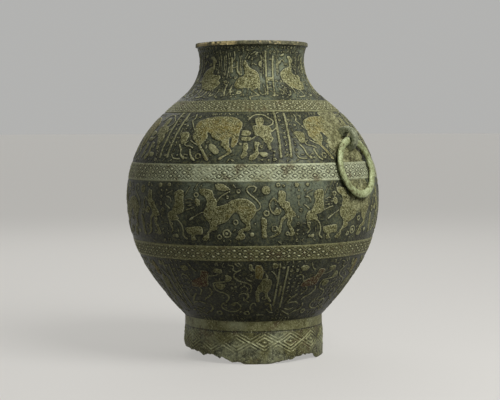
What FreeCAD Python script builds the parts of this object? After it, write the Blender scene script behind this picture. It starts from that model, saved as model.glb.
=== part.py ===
import FreeCAD, Part
import math
import os
import Sketcher

# A bronze hu: a round, full-bellied wine vessel cast in one piece, with a flared neck, a ring foot,
# raised bands between friezes of flat figures, and a lug on each shoulder that carries a loose ring.
# +Z is up, the origin is the centre of the standing plane, and the two lugs lie on the X axis.

Vector = FreeCAD.Vector
Rotation = FreeCAD.Rotation
AXIS_X = Vector(1, 0, 0)
AXIS_Y = Vector(0, 1, 0)
AXIS_Z = Vector(0, 0, 1)
CLEAR = 5.0  # how far a cutting outline runs past the metal it cuts
DRAWN_HEIGHT = 350.0  # the height of the vessel at which the levels of the sizes are drawn
WALL_STEP = 1.0  # the step in which a way down the wall is measured

# Driving sizes in millimetres. A name that ends in "_z" is a height above the standing plane; above the foot
# these levels are drawn for a vessel of DRAWN_HEIGHT and move apart or together with "height".
SIZES = {
    "height": 350.0,
    "lip_radius": 63.0,
    "lip_under_radius": 61.2,
    "lip_depth": 4.6,
    "lip_wall": 4.4,
    "lip_round": 1.4,
    "neck_radius": 58.3,
    "neck_z": 330.0,
    "collar_radius": 77.4,
    "collar_z": 291.0,
    "shoulder_radius": 98.6,
    "shoulder_z": 272.4,
    "belly_radius": 141.5,
    "belly_z": 178.0,
    "waist_radius": 114.9,
    "waist_z": 92.8,
    "waist_curve": 350.0,
    "wall": 3.0,
    "floor": 3.4,
    "foot_radius": 78.0,
    "foot_base_radius": 79.0,
    "foot_z": 46.6,
    "foot_wall": 3.8,
    "foot_line_z": 35.4,
    "foot_line_half": 0.8,
    "foot_line_depth": 0.7,
    "relief": 0.7,
    "figure_relief": 0.6,
    "upper_band_top_z": 285.0,
    "upper_band_bottom_z": 272.8,
    "middle_band_top_z": 218.6,
    "middle_band_bottom_z": 199.8,
    "lower_band_top_z": 133.5,
    "lower_band_bottom_z": 116.8,
    "hinge_z": 241.5,
    "lug_radius": 14.0,
    "lug_width": 9.2,
    "lug_round": 3.4,
    "lug_strap": 3.9,
    "slot_rise": 4.6,
    "ring_radius": 29.7,
    "ring_width": 8.4,
    "ring_thickness": 4.8,
    "ring_gap": 0.4,
}

# Sizes that follow from the driving ones. "_turn" is the slope of the wall's outward normal, "_curve" the
# radius of an arc of the side view, and the hinge is the line about which a ring swings in its lug.
LEVELS = ["waist", "lower_band_bottom", "lower_band_top", "belly", "middle_band_bottom", "middle_band_top",
          "hinge", "shoulder", "upper_band_bottom", "upper_band_top", "collar", "neck"]
DERIVED = {"stretch": f"(height - foot_z) / ({DRAWN_HEIGHT} - foot_z)"}
DERIVED.update({f"{name}_level": f"foot_z + ({name}_z - foot_z) * stretch" for name in LEVELS})
DERIVED.update({
    "neck_curve": "((collar_radius - neck_radius)^2 + (neck_level - collar_level)^2)"
                  " / 2 / (collar_radius - neck_radius)",
    "collar_turn": "asin((neck_level - collar_level) / neck_curve)",
    "belly_curve": "((belly_radius - shoulder_radius)^2 + (shoulder_level - belly_level)^2)"
                   " / 2 / (belly_radius - shoulder_radius)",
    "belly_axis": "belly_radius - belly_curve",
    "shoulder_turn": "asin((shoulder_level - belly_level) / belly_curve)",
    "lower_curve": "((belly_radius - waist_radius)^2 + (belly_level - waist_level)^2)"
                   " / 2 / (belly_radius - waist_radius)",
    "lower_axis": "belly_radius - lower_curve",
    "waist_turn": "asin((belly_level - waist_level) / lower_curve)",
    "waist_chord": "sqrt((waist_radius - foot_radius)^2 + (waist_level - foot_z)^2)",
    "foot_turn": "acos((waist_level - foot_z) / waist_chord) + asin(waist_chord / 2 / waist_curve)",
    "inner_foot_radius": "foot_radius - wall * cos(foot_turn)",
    "inner_foot_z": "foot_z + wall * sin(foot_turn)",
    "foot_line_radius": "foot_radius + (foot_base_radius - foot_radius) * (1 - foot_line_z / foot_z)",
    "ring_bend": "(lug_width / 2)^2 / 2 / ring_radius",
    "slot_radius": "ring_width / 2 + ring_bend + ring_gap",
    "hinge_swing": "asin((hinge_level - belly_level) / (belly_curve + slot_radius))",
    "hinge_x": "belly_axis + (belly_curve + slot_radius) * cos(hinge_swing)",
    "lug_x": "hinge_x + slot_radius + lug_strap - lug_radius",
    "lug_z": "hinge_level + slot_rise / 4",
    "lean_far": "belly_curve + relief + ring_thickness / 2 + ring_gap",
    "lean_near": "belly_curve + slot_radius",
    "ring_lean": "acos((lean_near^2 + 4 * ring_radius^2 - lean_far^2) / (4 * lean_near * ring_radius))"
                 " + hinge_swing - 90 deg",
})

# The broken margin of the foot: turn about the axis in degrees from the front, and the height that is lost.
FRONT_BREAK = [(-86, 0), (-80, 3.6), (-72, 8.0), (-63, 10.4), (-55, 11.2), (-47, 11.5), (-40, 11.0),
               (-33, 10.9), (-27, 10.2), (-22, 10.8), (-15, 10.0), (-9, 7.7), (-4, 8.8), (1, 8.4),
               (7, 5.5), (9, 7.2), (14, 4.0), (18, 2.2), (23, 3.0), (29, 0)]
SIDE_BREAK = [(49, 0), (54, 1.4), (58, 1.7), (62, 2.6), (67, 3.3), (71, 4.6), (75, 5.8), (80, 7.0),
              (86, 7.3), (92, 6.8), (96, 4.4), (99, 0.6), (101, 0)]

# The figures of one panel of each frieze. A place is (turn in degrees from the front, way down the wall from
# the frieze's upper edge), a plate is a closed outline, and a strip is (width, places along its middle).
NECK_PLATES = [
    [(27.6, 18), (29.6, 17.6), (31, 21.5), (34, 25.6), (38, 27.6), (41.2, 30.2), (43, 34.5), (43.2, 40),
     (42, 46.5), (39.5, 51.4), (36.6, 53.2), (34.8, 50), (31, 50.6), (28, 49.8), (25.5, 51.6), (22, 50.4),
     (19.8, 47), (20.2, 42), (22.6, 37.6), (25.8, 35.8), (28.6, 33), (28.4, 28)],
    [(66.4, 32), (69, 28.8), (74, 26.4), (79.4, 24.4), (80.4, 21), (78.8, 16), (79.8, 12.6), (83.2, 14.2),
     (85.2, 17.6), (83.2, 21), (83, 25.6), (81.6, 29.6), (84.6, 33), (90, 33.4), (93, 36), (91.4, 40),
     (94, 43), (91.6, 49), (87, 52.6), (82.4, 53), (77.4, 50.6), (73, 49.6), (71.4, 45.4), (68, 42),
     (66.2, 37)],
]
NECK_STRIPS = [
    (2.0, [(50.5, 8), (51.0, 25), (50.3, 38), (48.6, 61)]),
    (1.9, [(59.0, 13), (58.3, 26), (57.0, 38), (54.3, 61)]),
]
SHOULDER_PLATES = [
    [(5, 14.5), (8, 11), (11, 8.6), (16, 7.6), (22, 7.2), (26, 9), (28.6, 12), (30.4, 16), (30.9, 20),
     (29.6, 30), (28.8, 42), (26.3, 47.5), (25.7, 44), (26, 38), (25.2, 34.5), (24.6, 40), (25.8, 48),
     (26, 53.6), (21.4, 61), (20.2, 60.4), (24.2, 53.2), (23.6, 49.4), (20.6, 43.5), (20.9, 40),
     (16.8, 37), (14.2, 30.2), (12.6, 29.4), (12.9, 34), (12.2, 39.6), (10.6, 44.8), (13.6, 53.5),
     (15.9, 61.2), (14.6, 61.8), (10.5, 49), (6, 37.5), (4.6, 33), (4.3, 21)],
    [(38.2, 10), (41.8, 9.5), (42.3, 14), (41.4, 20.6), (45, 22.6), (46.2, 27), (45.2, 30), (46.3, 37.4),
     (44.5, 44), (45, 49.6), (43.4, 49.2), (42, 41.6), (39.5, 34), (37.5, 32.6), (36.5, 21.4),
     (38.2, 19.6), (37.8, 14)],
]
SHOULDER_BARS = [
    (2.3, [(-11.7, 2), (-12.0, 58.6)]),
    (2.3, [(-5.6, 3), (-6.4, 30), (-7.1, 58.6)]),
]
BELLY_PLATES = [
    [(13, 8), (15, 6.8), (18, 8), (19.1, 11), (20.4, 18), (20.6, 24.6), (22.5, 24.3), (25, 22.3),
     (27, 19), (29, 17.6), (33.2, 17.4), (36.6, 23), (37.3, 31), (35, 39.2), (35.1, 48), (31.6, 52.4),
     (32.6, 57), (31.4, 60.2), (29, 60.2), (28.6, 57.5), (29.7, 51.8), (32.7, 46.6), (31, 38.8),
     (29.8, 32.2), (28.5, 31.2), (26, 37.6), (23.8, 42), (20.6, 44.6), (20.8, 48), (16.7, 54),
     (16.3, 59.2), (15.1, 61.8), (13.4, 60.4), (15.5, 55.4), (17.4, 46), (16.2, 39.6), (14.9, 30),
     (16.2, 25), (15.6, 15.6), (13.4, 12)],
    [(0.9, 11), (3, 8.4), (5.1, 9.4), (5.5, 14), (5.2, 20), (5.4, 28), (1.6, 35.4), (3.4, 41), (4.8, 50),
     (5.6, 60), (3.8, 58), (2.8, 48), (1.2, 41), (-1, 42), (-1.6, 50), (-3, 50), (-3.4, 36), (-0.8, 29.6),
     (0.8, 20)],
    [(47.4, 9), (49, 9.4), (50, 12), (49.8, 20), (52, 25), (54.6, 34.6), (53, 37), (52.1, 43.6),
     (54.3, 55.2), (53, 57.2), (51.7, 55.6), (50.6, 43), (50.5, 37), (48.6, 42), (47.7, 54), (44, 58.2),
     (43.5, 57), (46.6, 52), (48.1, 38), (49.9, 32), (46.8, 21), (46.7, 12)],
    [(5.8, 48.2), (13.5, 46.8), (13.7, 54.4), (10, 56), (10.6, 60.8), (8.2, 61.6), (8.1, 55.4)],
]
BELLY_STRIPS = [
    (1.5, [(36.9, 10.4), (37.4, 7), (35, 4.3), (33.7, 6.4), (34.2, 11.0), (37.8, 19), (39.1, 25),
           (38.3, 28.6)]),
]
LOWER_PLATES = [
    [(9.5, 12), (12.5, 12.5), (13.3, 15), (11.8, 24), (10.4, 33), (3, 35), (0.3, 34), (2.5, 26), (8, 20),
     (8.8, 15)],
    [(37.3, 5), (39.5, 5), (41, 14), (41.4, 22), (44, 22), (45.6, 32), (44.1, 41), (44.4, 46), (46.9, 54),
     (45.8, 55), (42.4, 43), (40.6, 40), (39.2, 44), (39.6, 54), (38, 55), (37.3, 44), (38.5, 32),
     (39.4, 24), (37.4, 21)],
]
LOWER_STRIPS = [
    (1.9, [(-14, 3), (-14.2, 60)]),
    (1.9, [(-9.7, 7), (-9.2, 64)]),
    (1.6, [(21.4, 26.4), (15, 27.8), (14.2, 33), (16.4, 40), (21, 45), (20.8, 51), (18.8, 56.4)]),
    (1.7, [(17.2, 58), (15, 62), (16.5, 67), (22, 70.1), (27, 65.4), (27.4, 59), (24.2, 56.4)]),
    (1.6, [(29.8, 10.4), (26.2, 18), (28, 24), (32.5, 27.6), (34.9, 33.5), (34.2, 40.8)]),
]

# Friezes: the level of the upper edge, the turn that a panel's figures face, the turns from it at which they
# are cast again, and the panel's plates and strips.
FRIEZES = {
    "neck": ("height - lip_depth", 57, [90, 180, 270], NECK_PLATES, NECK_STRIPS),
    "shoulder": ("shoulder_level", 18, [120, 180, 300], SHOULDER_PLATES, []),
    "shoulder_bars": ("shoulder_level", -9, [60, 120, 180, 240, 300], [], SHOULDER_BARS),
    "belly": ("middle_band_bottom_level", 25, [60, 120, 180, 240, 300], BELLY_PLATES, BELLY_STRIPS),
    "lower": ("lower_band_bottom_level", 16, [60, 120, 180, 240, 300], LOWER_PLATES, LOWER_STRIPS),
}

# The lozenges of the foot: how many, the turn of the first and the height of its middle; and of each of its
# two ridges, how far the outer edge reaches to the side and up.
LOZENGES = 16
LOZENGE_TURN = 44.5
LOZENGE_MIDDLE = 23.4
LOZENGE_RIDGES = [(14.6, 8.7), (8.6, 5.1)]
RIDGE_WIDTH = 1.6

doc = FreeCAD.newDocument("hu")
sheet = doc.addObject("Spreadsheet::Sheet", "dims")
cells = {alias: str(value) for alias, value in SIZES.items()}
cells.update({alias: "=" + formula for alias, formula in DERIVED.items()})
for row, (alias, content) in enumerate(cells.items(), start=1):
    sheet.set(f"A{row}", alias)
    sheet.setAlias(f"B{row}", alias)
    sheet.set(f"B{row}", content)
doc.recompute()


def size(alias):
    """The value of a cell as a plain number; angles are in degrees."""
    value = getattr(sheet, alias)
    return float(getattr(value, "Value", value))


def origin_part(body, role):
    return next(feature for feature in body.Origin.OriginFeatures if feature.Role == role)


def evaluate(formula):
    """The present value of a formula in the sheet's aliases."""
    value = sheet.evalExpression(formula)
    return float(getattr(value, "Value", value))


def new_sketch(body, name, plane):
    sketch = body.newObject("Sketcher::SketchObject", name)
    sketch.AttachmentSupport = (origin_part(body, plane), "")
    sketch.MapMode = "FlatFace"
    sketch.Visibility = False
    return sketch


def in_sheet(formula):
    """The formula with each alias written as a cell of the sheet, as an object's expression needs it."""
    names = sorted(cells, key=len, reverse=True)
    parts = []
    word = ""
    for letter in formula + " ":
        if letter.isalnum() or letter == "_":
            word += letter
            continue
        parts.append("dims." + word if word in names else word)
        parts.append(letter)
        word = ""
    return "".join(parts).strip()


def pin(sketch, kind, geometry, position, formula):
    """Ties one coordinate of a point to the sheet; a coordinate of zero lies on the sketch's axis."""
    if formula == "0":
        axis = -2 if kind == "DistanceX" else -1
        sketch.addConstraint(Sketcher.Constraint("PointOnObject", geometry, position, axis))
        return
    index = sketch.addConstraint(Sketcher.Constraint(kind, -1, 1, geometry, position, evaluate(formula)))
    sketch.setExpression(f"Constraints[{index}]", in_sheet(formula))


def arc_between(sketch, start, end, centre):
    """Adds the short arc from start to end and gives its number and which of its ends is which."""
    first = math.atan2(start.y - centre.y, start.x - centre.x)
    last = math.atan2(end.y - centre.y, end.x - centre.x)
    circle = Part.Circle(centre, AXIS_Z, (start - centre).Length)
    if (last - first) % (2 * math.pi) < math.pi:
        return sketch.addGeometry(Part.ArcOfCircle(circle, first, last)), 1, 2
    return sketch.addGeometry(Part.ArcOfCircle(circle, last, first)), 2, 1


def level_centre(start, end, height):
    """The centre at a given height of the arc from start to end."""
    rise = (end.y - start.y) * ((start.y + end.y) / 2 - height)
    return Vector((start.x + end.x) / 2 + rise / (end.x - start.x), height, 0)


def chord_centre(start, end, radius):
    """The centre of an arc of a given radius, to the right of the way to the end for a radius above 0."""
    chord = end - start
    right = Vector(chord.y, -chord.x, 0).normalize()
    reach = math.sqrt(radius ** 2 - (chord.Length / 2) ** 2)
    return (start + end) * 0.5 + right * math.copysign(reach, radius)


def draw_outline(sketch, points):
    """Draws a closed outline and ties it to the sheet. Each point is (x formula, y formula, way on), and the
    way on to the next point is None for a line, ("level", formula) for an arc with its centre at that
    height, or ("curve", formula) for an arc of that radius, with its centre to the right of the way."""
    places = [Vector(evaluate(x), evaluate(y), 0) for x, y, _ in points]
    edges = []
    for number, (_, _, way) in enumerate(points):
        start = places[number]
        end = places[(number + 1) % len(places)]
        if way is None:
            edges.append((sketch.addGeometry(Part.LineSegment(start, end)), 1, 2))
        elif way[0] == "level":
            edges.append(arc_between(sketch, start, end, level_centre(start, end, evaluate(way[1]))))
        else:
            edges.append(arc_between(sketch, start, end, chord_centre(start, end, evaluate(way[1]))))
    for number, (geometry, _, last) in enumerate(edges):
        following, first, _ = edges[(number + 1) % len(edges)]
        sketch.addConstraint(Sketcher.Constraint("Coincident", geometry, last, following, first))
    for (x, y, way), (geometry, first, _) in zip(points, edges):
        pin(sketch, "DistanceX", geometry, first, x)
        pin(sketch, "DistanceY", geometry, first, y)
        if way is not None and way[0] == "level":
            pin(sketch, "DistanceY", geometry, 3, way[1])
        elif way is not None:
            radius = abs(evaluate(way[1]))
            index = sketch.addConstraint(Sketcher.Constraint("Radius", geometry, radius))
            sketch.setExpression(f"Constraints[{index}]", in_sheet(f"abs({way[1]})"))


def revolve(body, sketch, name, kind="PartDesign::Revolution"):
    """Turns a sketch a full turn about its own vertical axis."""
    feature = body.newObject(kind, name)
    feature.Profile = sketch
    feature.ReferenceAxis = (sketch, ["V_Axis"])
    feature.Angle = 360.0
    doc.recompute()
    return feature


def normal_step(radius, height, turn, step):
    """Formulas of the point that lies a step outward of the wall, where its normal has the given turn."""
    return f"{radius} + ({step}) * cos({turn})", f"{height} + ({step}) * sin({turn})"


def arc_point(axis, curve, height):
    """Formula of the radius at a height on an arc of the belly."""
    return f"{axis} + sqrt(({curve})^2 - ({height} - belly_level)^2)"


def make_vessel():
    body = doc.addObject("PartDesign::Body", "plain_vessel")
    raise_wall(body)
    raise_bands(body)
    add_lugs(body)
    hollow_out(body)
    finish_foot(body)
    skin = make_skin("wall_skin", wall_path)
    figures = []
    for name, frieze in FRIEZES.items():
        figures += raise_frieze(name, *frieze, skin)
    figures += raise_lozenges(make_skin("foot_skin", foot_path))
    vessel = doc.addObject("Part::MultiFuse", "vessel")
    vessel.Shapes = [body] + figures
    doc.recompute()
    return vessel


def raise_wall(body):
    """The solid outer form, whose side view is the ground on which the friezes stand."""
    sketch = new_sketch(body, "wall_outline", "XZ_Plane")
    draw_outline(sketch, [
        ("0", "0", None),
        ("foot_base_radius", "0", None),
        ("foot_radius", "foot_z", ("curve", "-waist_curve")),
        ("waist_radius", "waist_level", ("level", "belly_level")),
        ("belly_radius", "belly_level", ("level", "belly_level")),
        ("shoulder_radius", "shoulder_level", None),
        ("collar_radius", "collar_level", ("level", "neck_level")),
        ("neck_radius", "neck_level", ("level", "neck_level")),
        ("lip_under_radius", "height - lip_depth", None),
        ("lip_radius", "height - lip_depth", None),
        ("lip_radius", "height - lip_round", ("curve", "-lip_round")),
        ("lip_radius - lip_round", "height", None),
        ("0", "height", None),
    ])
    revolve(body, sketch, "wall_form")


def raise_bands(body):
    """Three bands that stand proud of the ground by the relief: one straight in side view, two curved."""
    slope = "(shoulder_radius - collar_radius) / (collar_level - shoulder_level)"
    root = "- wall / 2"
    rows = []
    for height in ("upper_band_bottom_level", "upper_band_top_level"):
        rows.append((f"collar_radius + (collar_level - {height}) * {slope}", height))
    turn = "atan((collar_level - shoulder_level) / (shoulder_radius - collar_radius))"
    tilt = f"90 deg - {turn}"
    sketch = new_sketch(body, "upper_band_outline", "XZ_Plane")
    low, top = rows
    draw_outline(sketch, [
        normal_step(*low, tilt, root) + (None,),
        normal_step(*low, tilt, "relief") + (None,),
        normal_step(*top, tilt, "relief") + (None,),
        normal_step(*top, tilt, root) + (None,),
    ])
    revolve(body, sketch, "upper_band")
    for name, axis, curve in (("middle_band", "belly_axis", "belly_curve"),
                              ("lower_band", "lower_axis", "lower_curve")):
        low = f"{name}_bottom_level"
        top = f"{name}_top_level"
        outside = f"{curve} + relief"
        inside = f"{curve} {root}"
        sketch = new_sketch(body, f"{name}_outline", "XZ_Plane")
        draw_outline(sketch, [
            (arc_point(axis, inside, low), low, None),
            (arc_point(axis, outside, low), low, ("level", "belly_level")),
            (arc_point(axis, outside, top), top, None),
            (arc_point(axis, inside, top), top, ("level", "belly_level")),
        ])
        revolve(body, sketch, name)


def slot_point(out, up):
    """Formulas of a point of the lug's slot, so far out of the wall and up along it from the hinge."""
    return (f"hinge_x + ({out}) * cos(hinge_swing) - ({up}) * sin(hinge_swing)",
            f"hinge_level + ({out}) * sin(hinge_swing) + ({up}) * cos(hinge_swing)")


def add_lugs(body):
    """A lug on each side: a thick round-edged tongue, pierced from side to side for its ring."""
    sketch = new_sketch(body, "lug_outline", "XY_Plane")
    sketch.setExpression("AttachmentOffset.Base.x", "dims.lug_x")
    sketch.setExpression("AttachmentOffset.Base.z", "dims.lug_z")
    flat = "lug_radius - lug_round"
    half = "lug_width / 2"
    draw_outline(sketch, [
        ("0", f"-({half})", None),
        (flat, f"-({half})", ("curve", "-lug_round")),
        ("lug_radius", f"-({half} - lug_round)", None),
        ("lug_radius", f"{half} - lug_round", ("curve", "-lug_round")),
        (flat, half, None),
        ("0", half, None),
    ])
    lug = revolve(body, sketch, "lug")
    sketch = new_sketch(body, "slot_outline", "XZ_Plane")
    quarter = ("curve", "-slot_radius")
    draw_outline(sketch, [
        slot_point("-slot_radius", "0") + (quarter,),
        slot_point("0", "-slot_radius") + (quarter,),
        slot_point("slot_radius", "0") + (None,),
        slot_point("slot_radius", "slot_rise") + (quarter,),
        slot_point("0", "slot_rise + slot_radius") + (quarter,),
        slot_point("-slot_radius", "slot_rise") + (None,),
    ])
    slot = body.newObject("PartDesign::Pocket", "slot")
    slot.Profile = sketch
    slot.SideType = "Symmetric"
    slot.setExpression("Length", "dims.lug_width * 2")
    doc.recompute()
    pair = body.newObject("PartDesign::PolarPattern", "lug_pair")
    pair.Originals = [lug, slot]
    pair.Axis = (origin_part(body, "Z_Axis"), [""])
    pair.Angle = 360.0
    pair.Occurrences = 2
    body.Tip = pair
    doc.recompute()


def hollow_out(body):
    """The inside of the vessel, an even wall within the outer form."""
    sketch = new_sketch(body, "inside_outline", "XZ_Plane")
    draw_outline(sketch, [
        ("0", "inner_foot_z", None),
        ("inner_foot_radius", "inner_foot_z", ("curve", "-(waist_curve - wall)")),
        normal_step("waist_radius", "waist_level", "-waist_turn", "-wall") + (("level", "belly_level"),),
        ("belly_radius - wall", "belly_level", ("level", "belly_level")),
        normal_step("shoulder_radius", "shoulder_level", "shoulder_turn", "-wall") + (None,),
        normal_step("collar_radius", "collar_level", "collar_turn", "-wall") + (("level", "neck_level"),),
        ("neck_radius - wall", "neck_level", ("level", "neck_level")),
        ("lip_radius - lip_wall", "height - lip_depth", None),
        ("lip_radius - lip_wall", "height - lip_round", ("curve", "lip_round")),
        ("lip_radius - lip_wall + lip_round", "height", None),
        ("lip_radius - lip_wall + lip_round", f"height + {CLEAR}", None),
        ("0", f"height + {CLEAR}", None),
    ])
    revolve(body, sketch, "inside", "PartDesign::Groove")


def finish_foot(body):
    """The foot is an open ring with a line round it, and its margin is broken away in front."""
    sketch = new_sketch(body, "foot_outline", "XZ_Plane")
    draw_outline(sketch, [
        ("0", f"-{CLEAR}", None),
        ("foot_base_radius - foot_wall", f"-{CLEAR}", None),
        ("foot_radius - foot_wall", "inner_foot_z - floor", None),
        ("0", "inner_foot_z - floor", None),
    ])
    revolve(body, sketch, "foot_hollow", "PartDesign::Groove")
    sketch = new_sketch(body, "foot_line_outline", "XZ_Plane")
    draw_outline(sketch, [
        ("foot_line_radius - foot_line_depth", "foot_line_z", None),
        ("foot_line_radius + foot_line_depth", "foot_line_z - 2 * foot_line_half", None),
        ("foot_line_radius + foot_line_depth", "foot_line_z + 2 * foot_line_half", None),
    ])
    revolve(body, sketch, "foot_line", "PartDesign::Groove")
    break_margin(body, "front_break", "XZ_Plane", FRONT_BREAK, 0)
    break_margin(body, "side_break", "YZ_Plane", SIDE_BREAK, 90)


def break_margin(body, name, plane, profile, facing):
    """Cuts the lost part of the foot's margin, drawn on an upright plane through the vessel's axis and
    cleared outward from it."""
    sketch = new_sketch(body, f"{name}_outline", plane)
    reach = size("foot_base_radius")
    ridge = [Vector(reach * math.sin(math.radians(turn - facing)), lost, 0) for turn, lost in profile]
    corners = [Vector(ridge[0].x, -CLEAR, 0)] + ridge + [Vector(ridge[-1].x, -CLEAR, 0)]
    for start, end in zip(corners, corners[1:] + corners[:1]):
        number = sketch.addGeometry(Part.LineSegment(start, end))
        sketch.addConstraint(Sketcher.Constraint("Block", number))
    pocket = body.newObject("PartDesign::Pocket", name)
    pocket.Profile = sketch
    pocket.setExpression("Length", "dims.foot_base_radius * 2")
    pocket.Reversed = True
    doc.recompute()


def wall_radius(height):
    """The radius of the plain wall at a height above the foot."""
    if height <= size("waist_level"):
        start = Vector(size("foot_radius"), size("foot_z"), 0)
        end = Vector(size("waist_radius"), size("waist_level"), 0)
        centre = chord_centre(start, end, -size("waist_curve"))
        return centre.x + math.sqrt(size("waist_curve") ** 2 - (height - centre.y) ** 2)
    if height <= size("shoulder_level"):
        half = "lower" if height < size("belly_level") else "belly"
        reach = size(f"{half}_curve") ** 2 - (height - size("belly_level")) ** 2
        return size(f"{half}_axis") + math.sqrt(reach)
    if height <= size("collar_level"):
        part = (height - size("shoulder_level")) / (size("collar_level") - size("shoulder_level"))
        return size("shoulder_radius") + (size("collar_radius") - size("shoulder_radius")) * part
    if height <= size("neck_level"):
        reach = size("neck_curve") ** 2 - (height - size("neck_level")) ** 2
        return size("neck_radius") + size("neck_curve") - math.sqrt(reach)
    part = (height - size("neck_level")) / (size("height") - size("lip_depth") - size("neck_level"))
    return size("neck_radius") + (size("lip_under_radius") - size("neck_radius")) * part


def height_below(top, way):
    """The height that lies so far below a level, measured down the side of the wall."""
    height = top
    count = max(math.ceil(way / WALL_STEP), 1)
    for _ in range(count):
        rise = wall_radius(height - WALL_STEP) - wall_radius(height)
        height -= way / count * WALL_STEP / math.hypot(rise, WALL_STEP)
    return height


def wall_path(step):
    """The points of the wall's side view from under the lip down to the foot, moved outward by a step."""
    return [
        (f"lip_under_radius + ({step})", "height - lip_depth", ("level", "neck_level")),
        (f"neck_radius + ({step})", "neck_level", ("level", "neck_level")),
        normal_step("collar_radius", "collar_level", "collar_turn", step) + (None,),
        normal_step("shoulder_radius", "shoulder_level", "shoulder_turn", step) + (("level", "belly_level"),),
        (f"belly_radius + ({step})", "belly_level", ("level", "belly_level")),
        normal_step("waist_radius", "waist_level", "-waist_turn", step)
        + (("curve", f"waist_curve + ({step})"),),
        normal_step("foot_radius", "foot_z", "-foot_turn", step) + (None,),
    ]


def foot_path(step):
    """The points of the foot's side view from its root down to its margin, moved outward by a step."""
    return [
        (f"foot_radius + ({step})", "foot_z", None),
        (f"foot_base_radius + ({step})", "0", None),
    ]


def make_skin(name, path):
    """A skin from within the metal to the face of the figures, all round a side view."""
    skin = doc.addObject("PartDesign::Body", name)
    for side, step, kind in (("outer", "figure_relief", "PartDesign::Revolution"),
                             ("inner", "-(wall / 2)", "PartDesign::Groove")):
        line = path(step)
        sketch = new_sketch(skin, f"{name}_{side}_outline", "XZ_Plane")
        draw_outline(sketch, line + [("0", line[-1][1], None), ("0", line[0][1], None)])
        revolve(skin, sketch, f"{name}_{side}", kind)
    return skin


def strip_outline(places, width):
    """The outline of a strip of even width along a line of places."""
    left = []
    right = []
    for number, place in enumerate(places):
        along = places[min(number + 1, len(places) - 1)] - places[max(number - 1, 0)]
        side = Vector(-along.y, along.x, 0).normalize() * (width / 2)
        left.append(place + side)
        right.append(place - side)
    return left + right[::-1]


def raise_figures(name, facing, start, outlines, skin, turns):
    """Plates pushed out through a skin from an upright plane, which stands a way out from the axis and faces
    one turn, and repeated at other turns from it."""
    sketch = doc.addObject("Sketcher::SketchObject", f"{name}_outlines")
    turned = Rotation(AXIS_Z, facing) * Rotation(AXIS_X, 90)
    sketch.Placement = FreeCAD.Placement(turned.multVec(Vector(0, 0, start)), turned)
    lines = [Part.LineSegment(corner, following) for outline in outlines
             for corner, following in zip(outline, outline[1:] + outline[:1])]
    sketch.addGeometry(lines)
    sketch.addConstraint([Sketcher.Constraint("Block", number) for number in range(len(lines))])
    plates = doc.addObject("Part::Extrusion", f"{name}_plates")
    plates.Base = sketch
    plates.DirMode = "Normal"
    plates.FaceMakerClass = "Part::FaceMakerBullseye"
    plates.Solid = True
    plates.setExpression("LengthFwd", f"dims.belly_radius + {CLEAR} - {start:.1f}")
    figures = doc.addObject("Part::MultiCommon", f"{name}_figures")
    figures.Shapes = [plates, skin]
    doc.recompute()
    copies = []
    for turn in turns:
        copy = doc.addObject("App::Link", f"{name}_figures_{turn:.0f}")
        copy.LinkedObject = figures
        copy.LinkPlacement = FreeCAD.Placement(Vector(), Rotation(AXIS_Z, turn))
        copies.append(copy)
    return [figures] + copies


def raise_frieze(name, top, facing, turns, plates, strips, skin):
    """The flat figures of one frieze."""
    level = evaluate(top)

    def on_plane(turn, way):
        height = height_below(level, way)
        return Vector(wall_radius(height) * math.sin(math.radians(turn - facing)), height, 0)

    outlines = [[on_plane(*place) for place in plate] for plate in plates]
    outlines += [strip_outline([on_plane(*place) for place in places], width) for width, places in strips]
    corners = [corner for outline in outlines for corner in outline]
    depths = [math.sqrt(wall_radius(corner.y) ** 2 - corner.x ** 2) for corner in corners]
    start = min(depths) - 2 * size("wall")
    return raise_figures(name, facing, start, outlines, skin, turns)


def raise_lozenges(skin):
    """The nested lozenges round the foot."""
    outlines = []
    for wide, high in LOZENGE_RIDGES:
        for inset in (0, RIDGE_WIDTH):
            part = 1 - inset * math.hypot(wide, high) / (wide * high)
            outlines.append([Vector(x * part, LOZENGE_MIDDLE + y * part, 0)
                             for x, y in ((wide, 0), (0, high), (-wide, 0), (0, -high))])
    start = size("foot_radius") - 2 * size("wall")
    turns = [360 / LOZENGES * number for number in range(1, LOZENGES)]
    return raise_figures("lozenge", LOZENGE_TURN, start, outlines, skin, turns)


def make_ring(name, side):
    """A loose ring of oval section, hanging in its lug with its lower edge against the belly."""
    body = doc.addObject("PartDesign::Body", name)
    body.Label = name
    sketch = new_sketch(body, f"{name}_section", "XZ_Plane")
    centre = Vector(size("ring_radius"), 0, 0)
    along = centre + Vector(size("ring_width") / 2, 0, 0)
    across = centre + Vector(0, size("ring_thickness") / 2, 0)
    oval = sketch.addGeometry(Part.Ellipse(along, across, centre))
    sketch.exposeInternalGeometry(oval)
    sketch.addConstraint(Sketcher.Constraint("Horizontal", oval + 1))
    for axis, alias in ((oval + 1, "ring_width"), (oval + 2, "ring_thickness")):
        index = sketch.addConstraint(Sketcher.Constraint("Distance", axis, size(alias)))
        sketch.setExpression(f"Constraints[{index}]", in_sheet(alias))
    pin(sketch, "DistanceX", oval, 3, "ring_radius")
    pin(sketch, "DistanceY", oval, 3, "0")
    revolve(body, sketch, f"{name}_form")
    body.Placement = FreeCAD.Placement(Vector(), Rotation(AXIS_Y * side, 45))
    body.setExpression("Placement.Base.x",
                       f"{side} * (dims.hinge_x + dims.ring_radius * sin(dims.ring_lean))")
    body.setExpression("Placement.Base.z", "dims.hinge_level - dims.ring_radius * cos(dims.ring_lean)")
    body.setExpression("Placement.Rotation.Angle", "90 deg - dims.ring_lean")
    doc.recompute()
    return body


nodes = [make_vessel(), make_ring("ring_right", 1), make_ring("ring_left", -1)]
doc.recompute()

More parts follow.
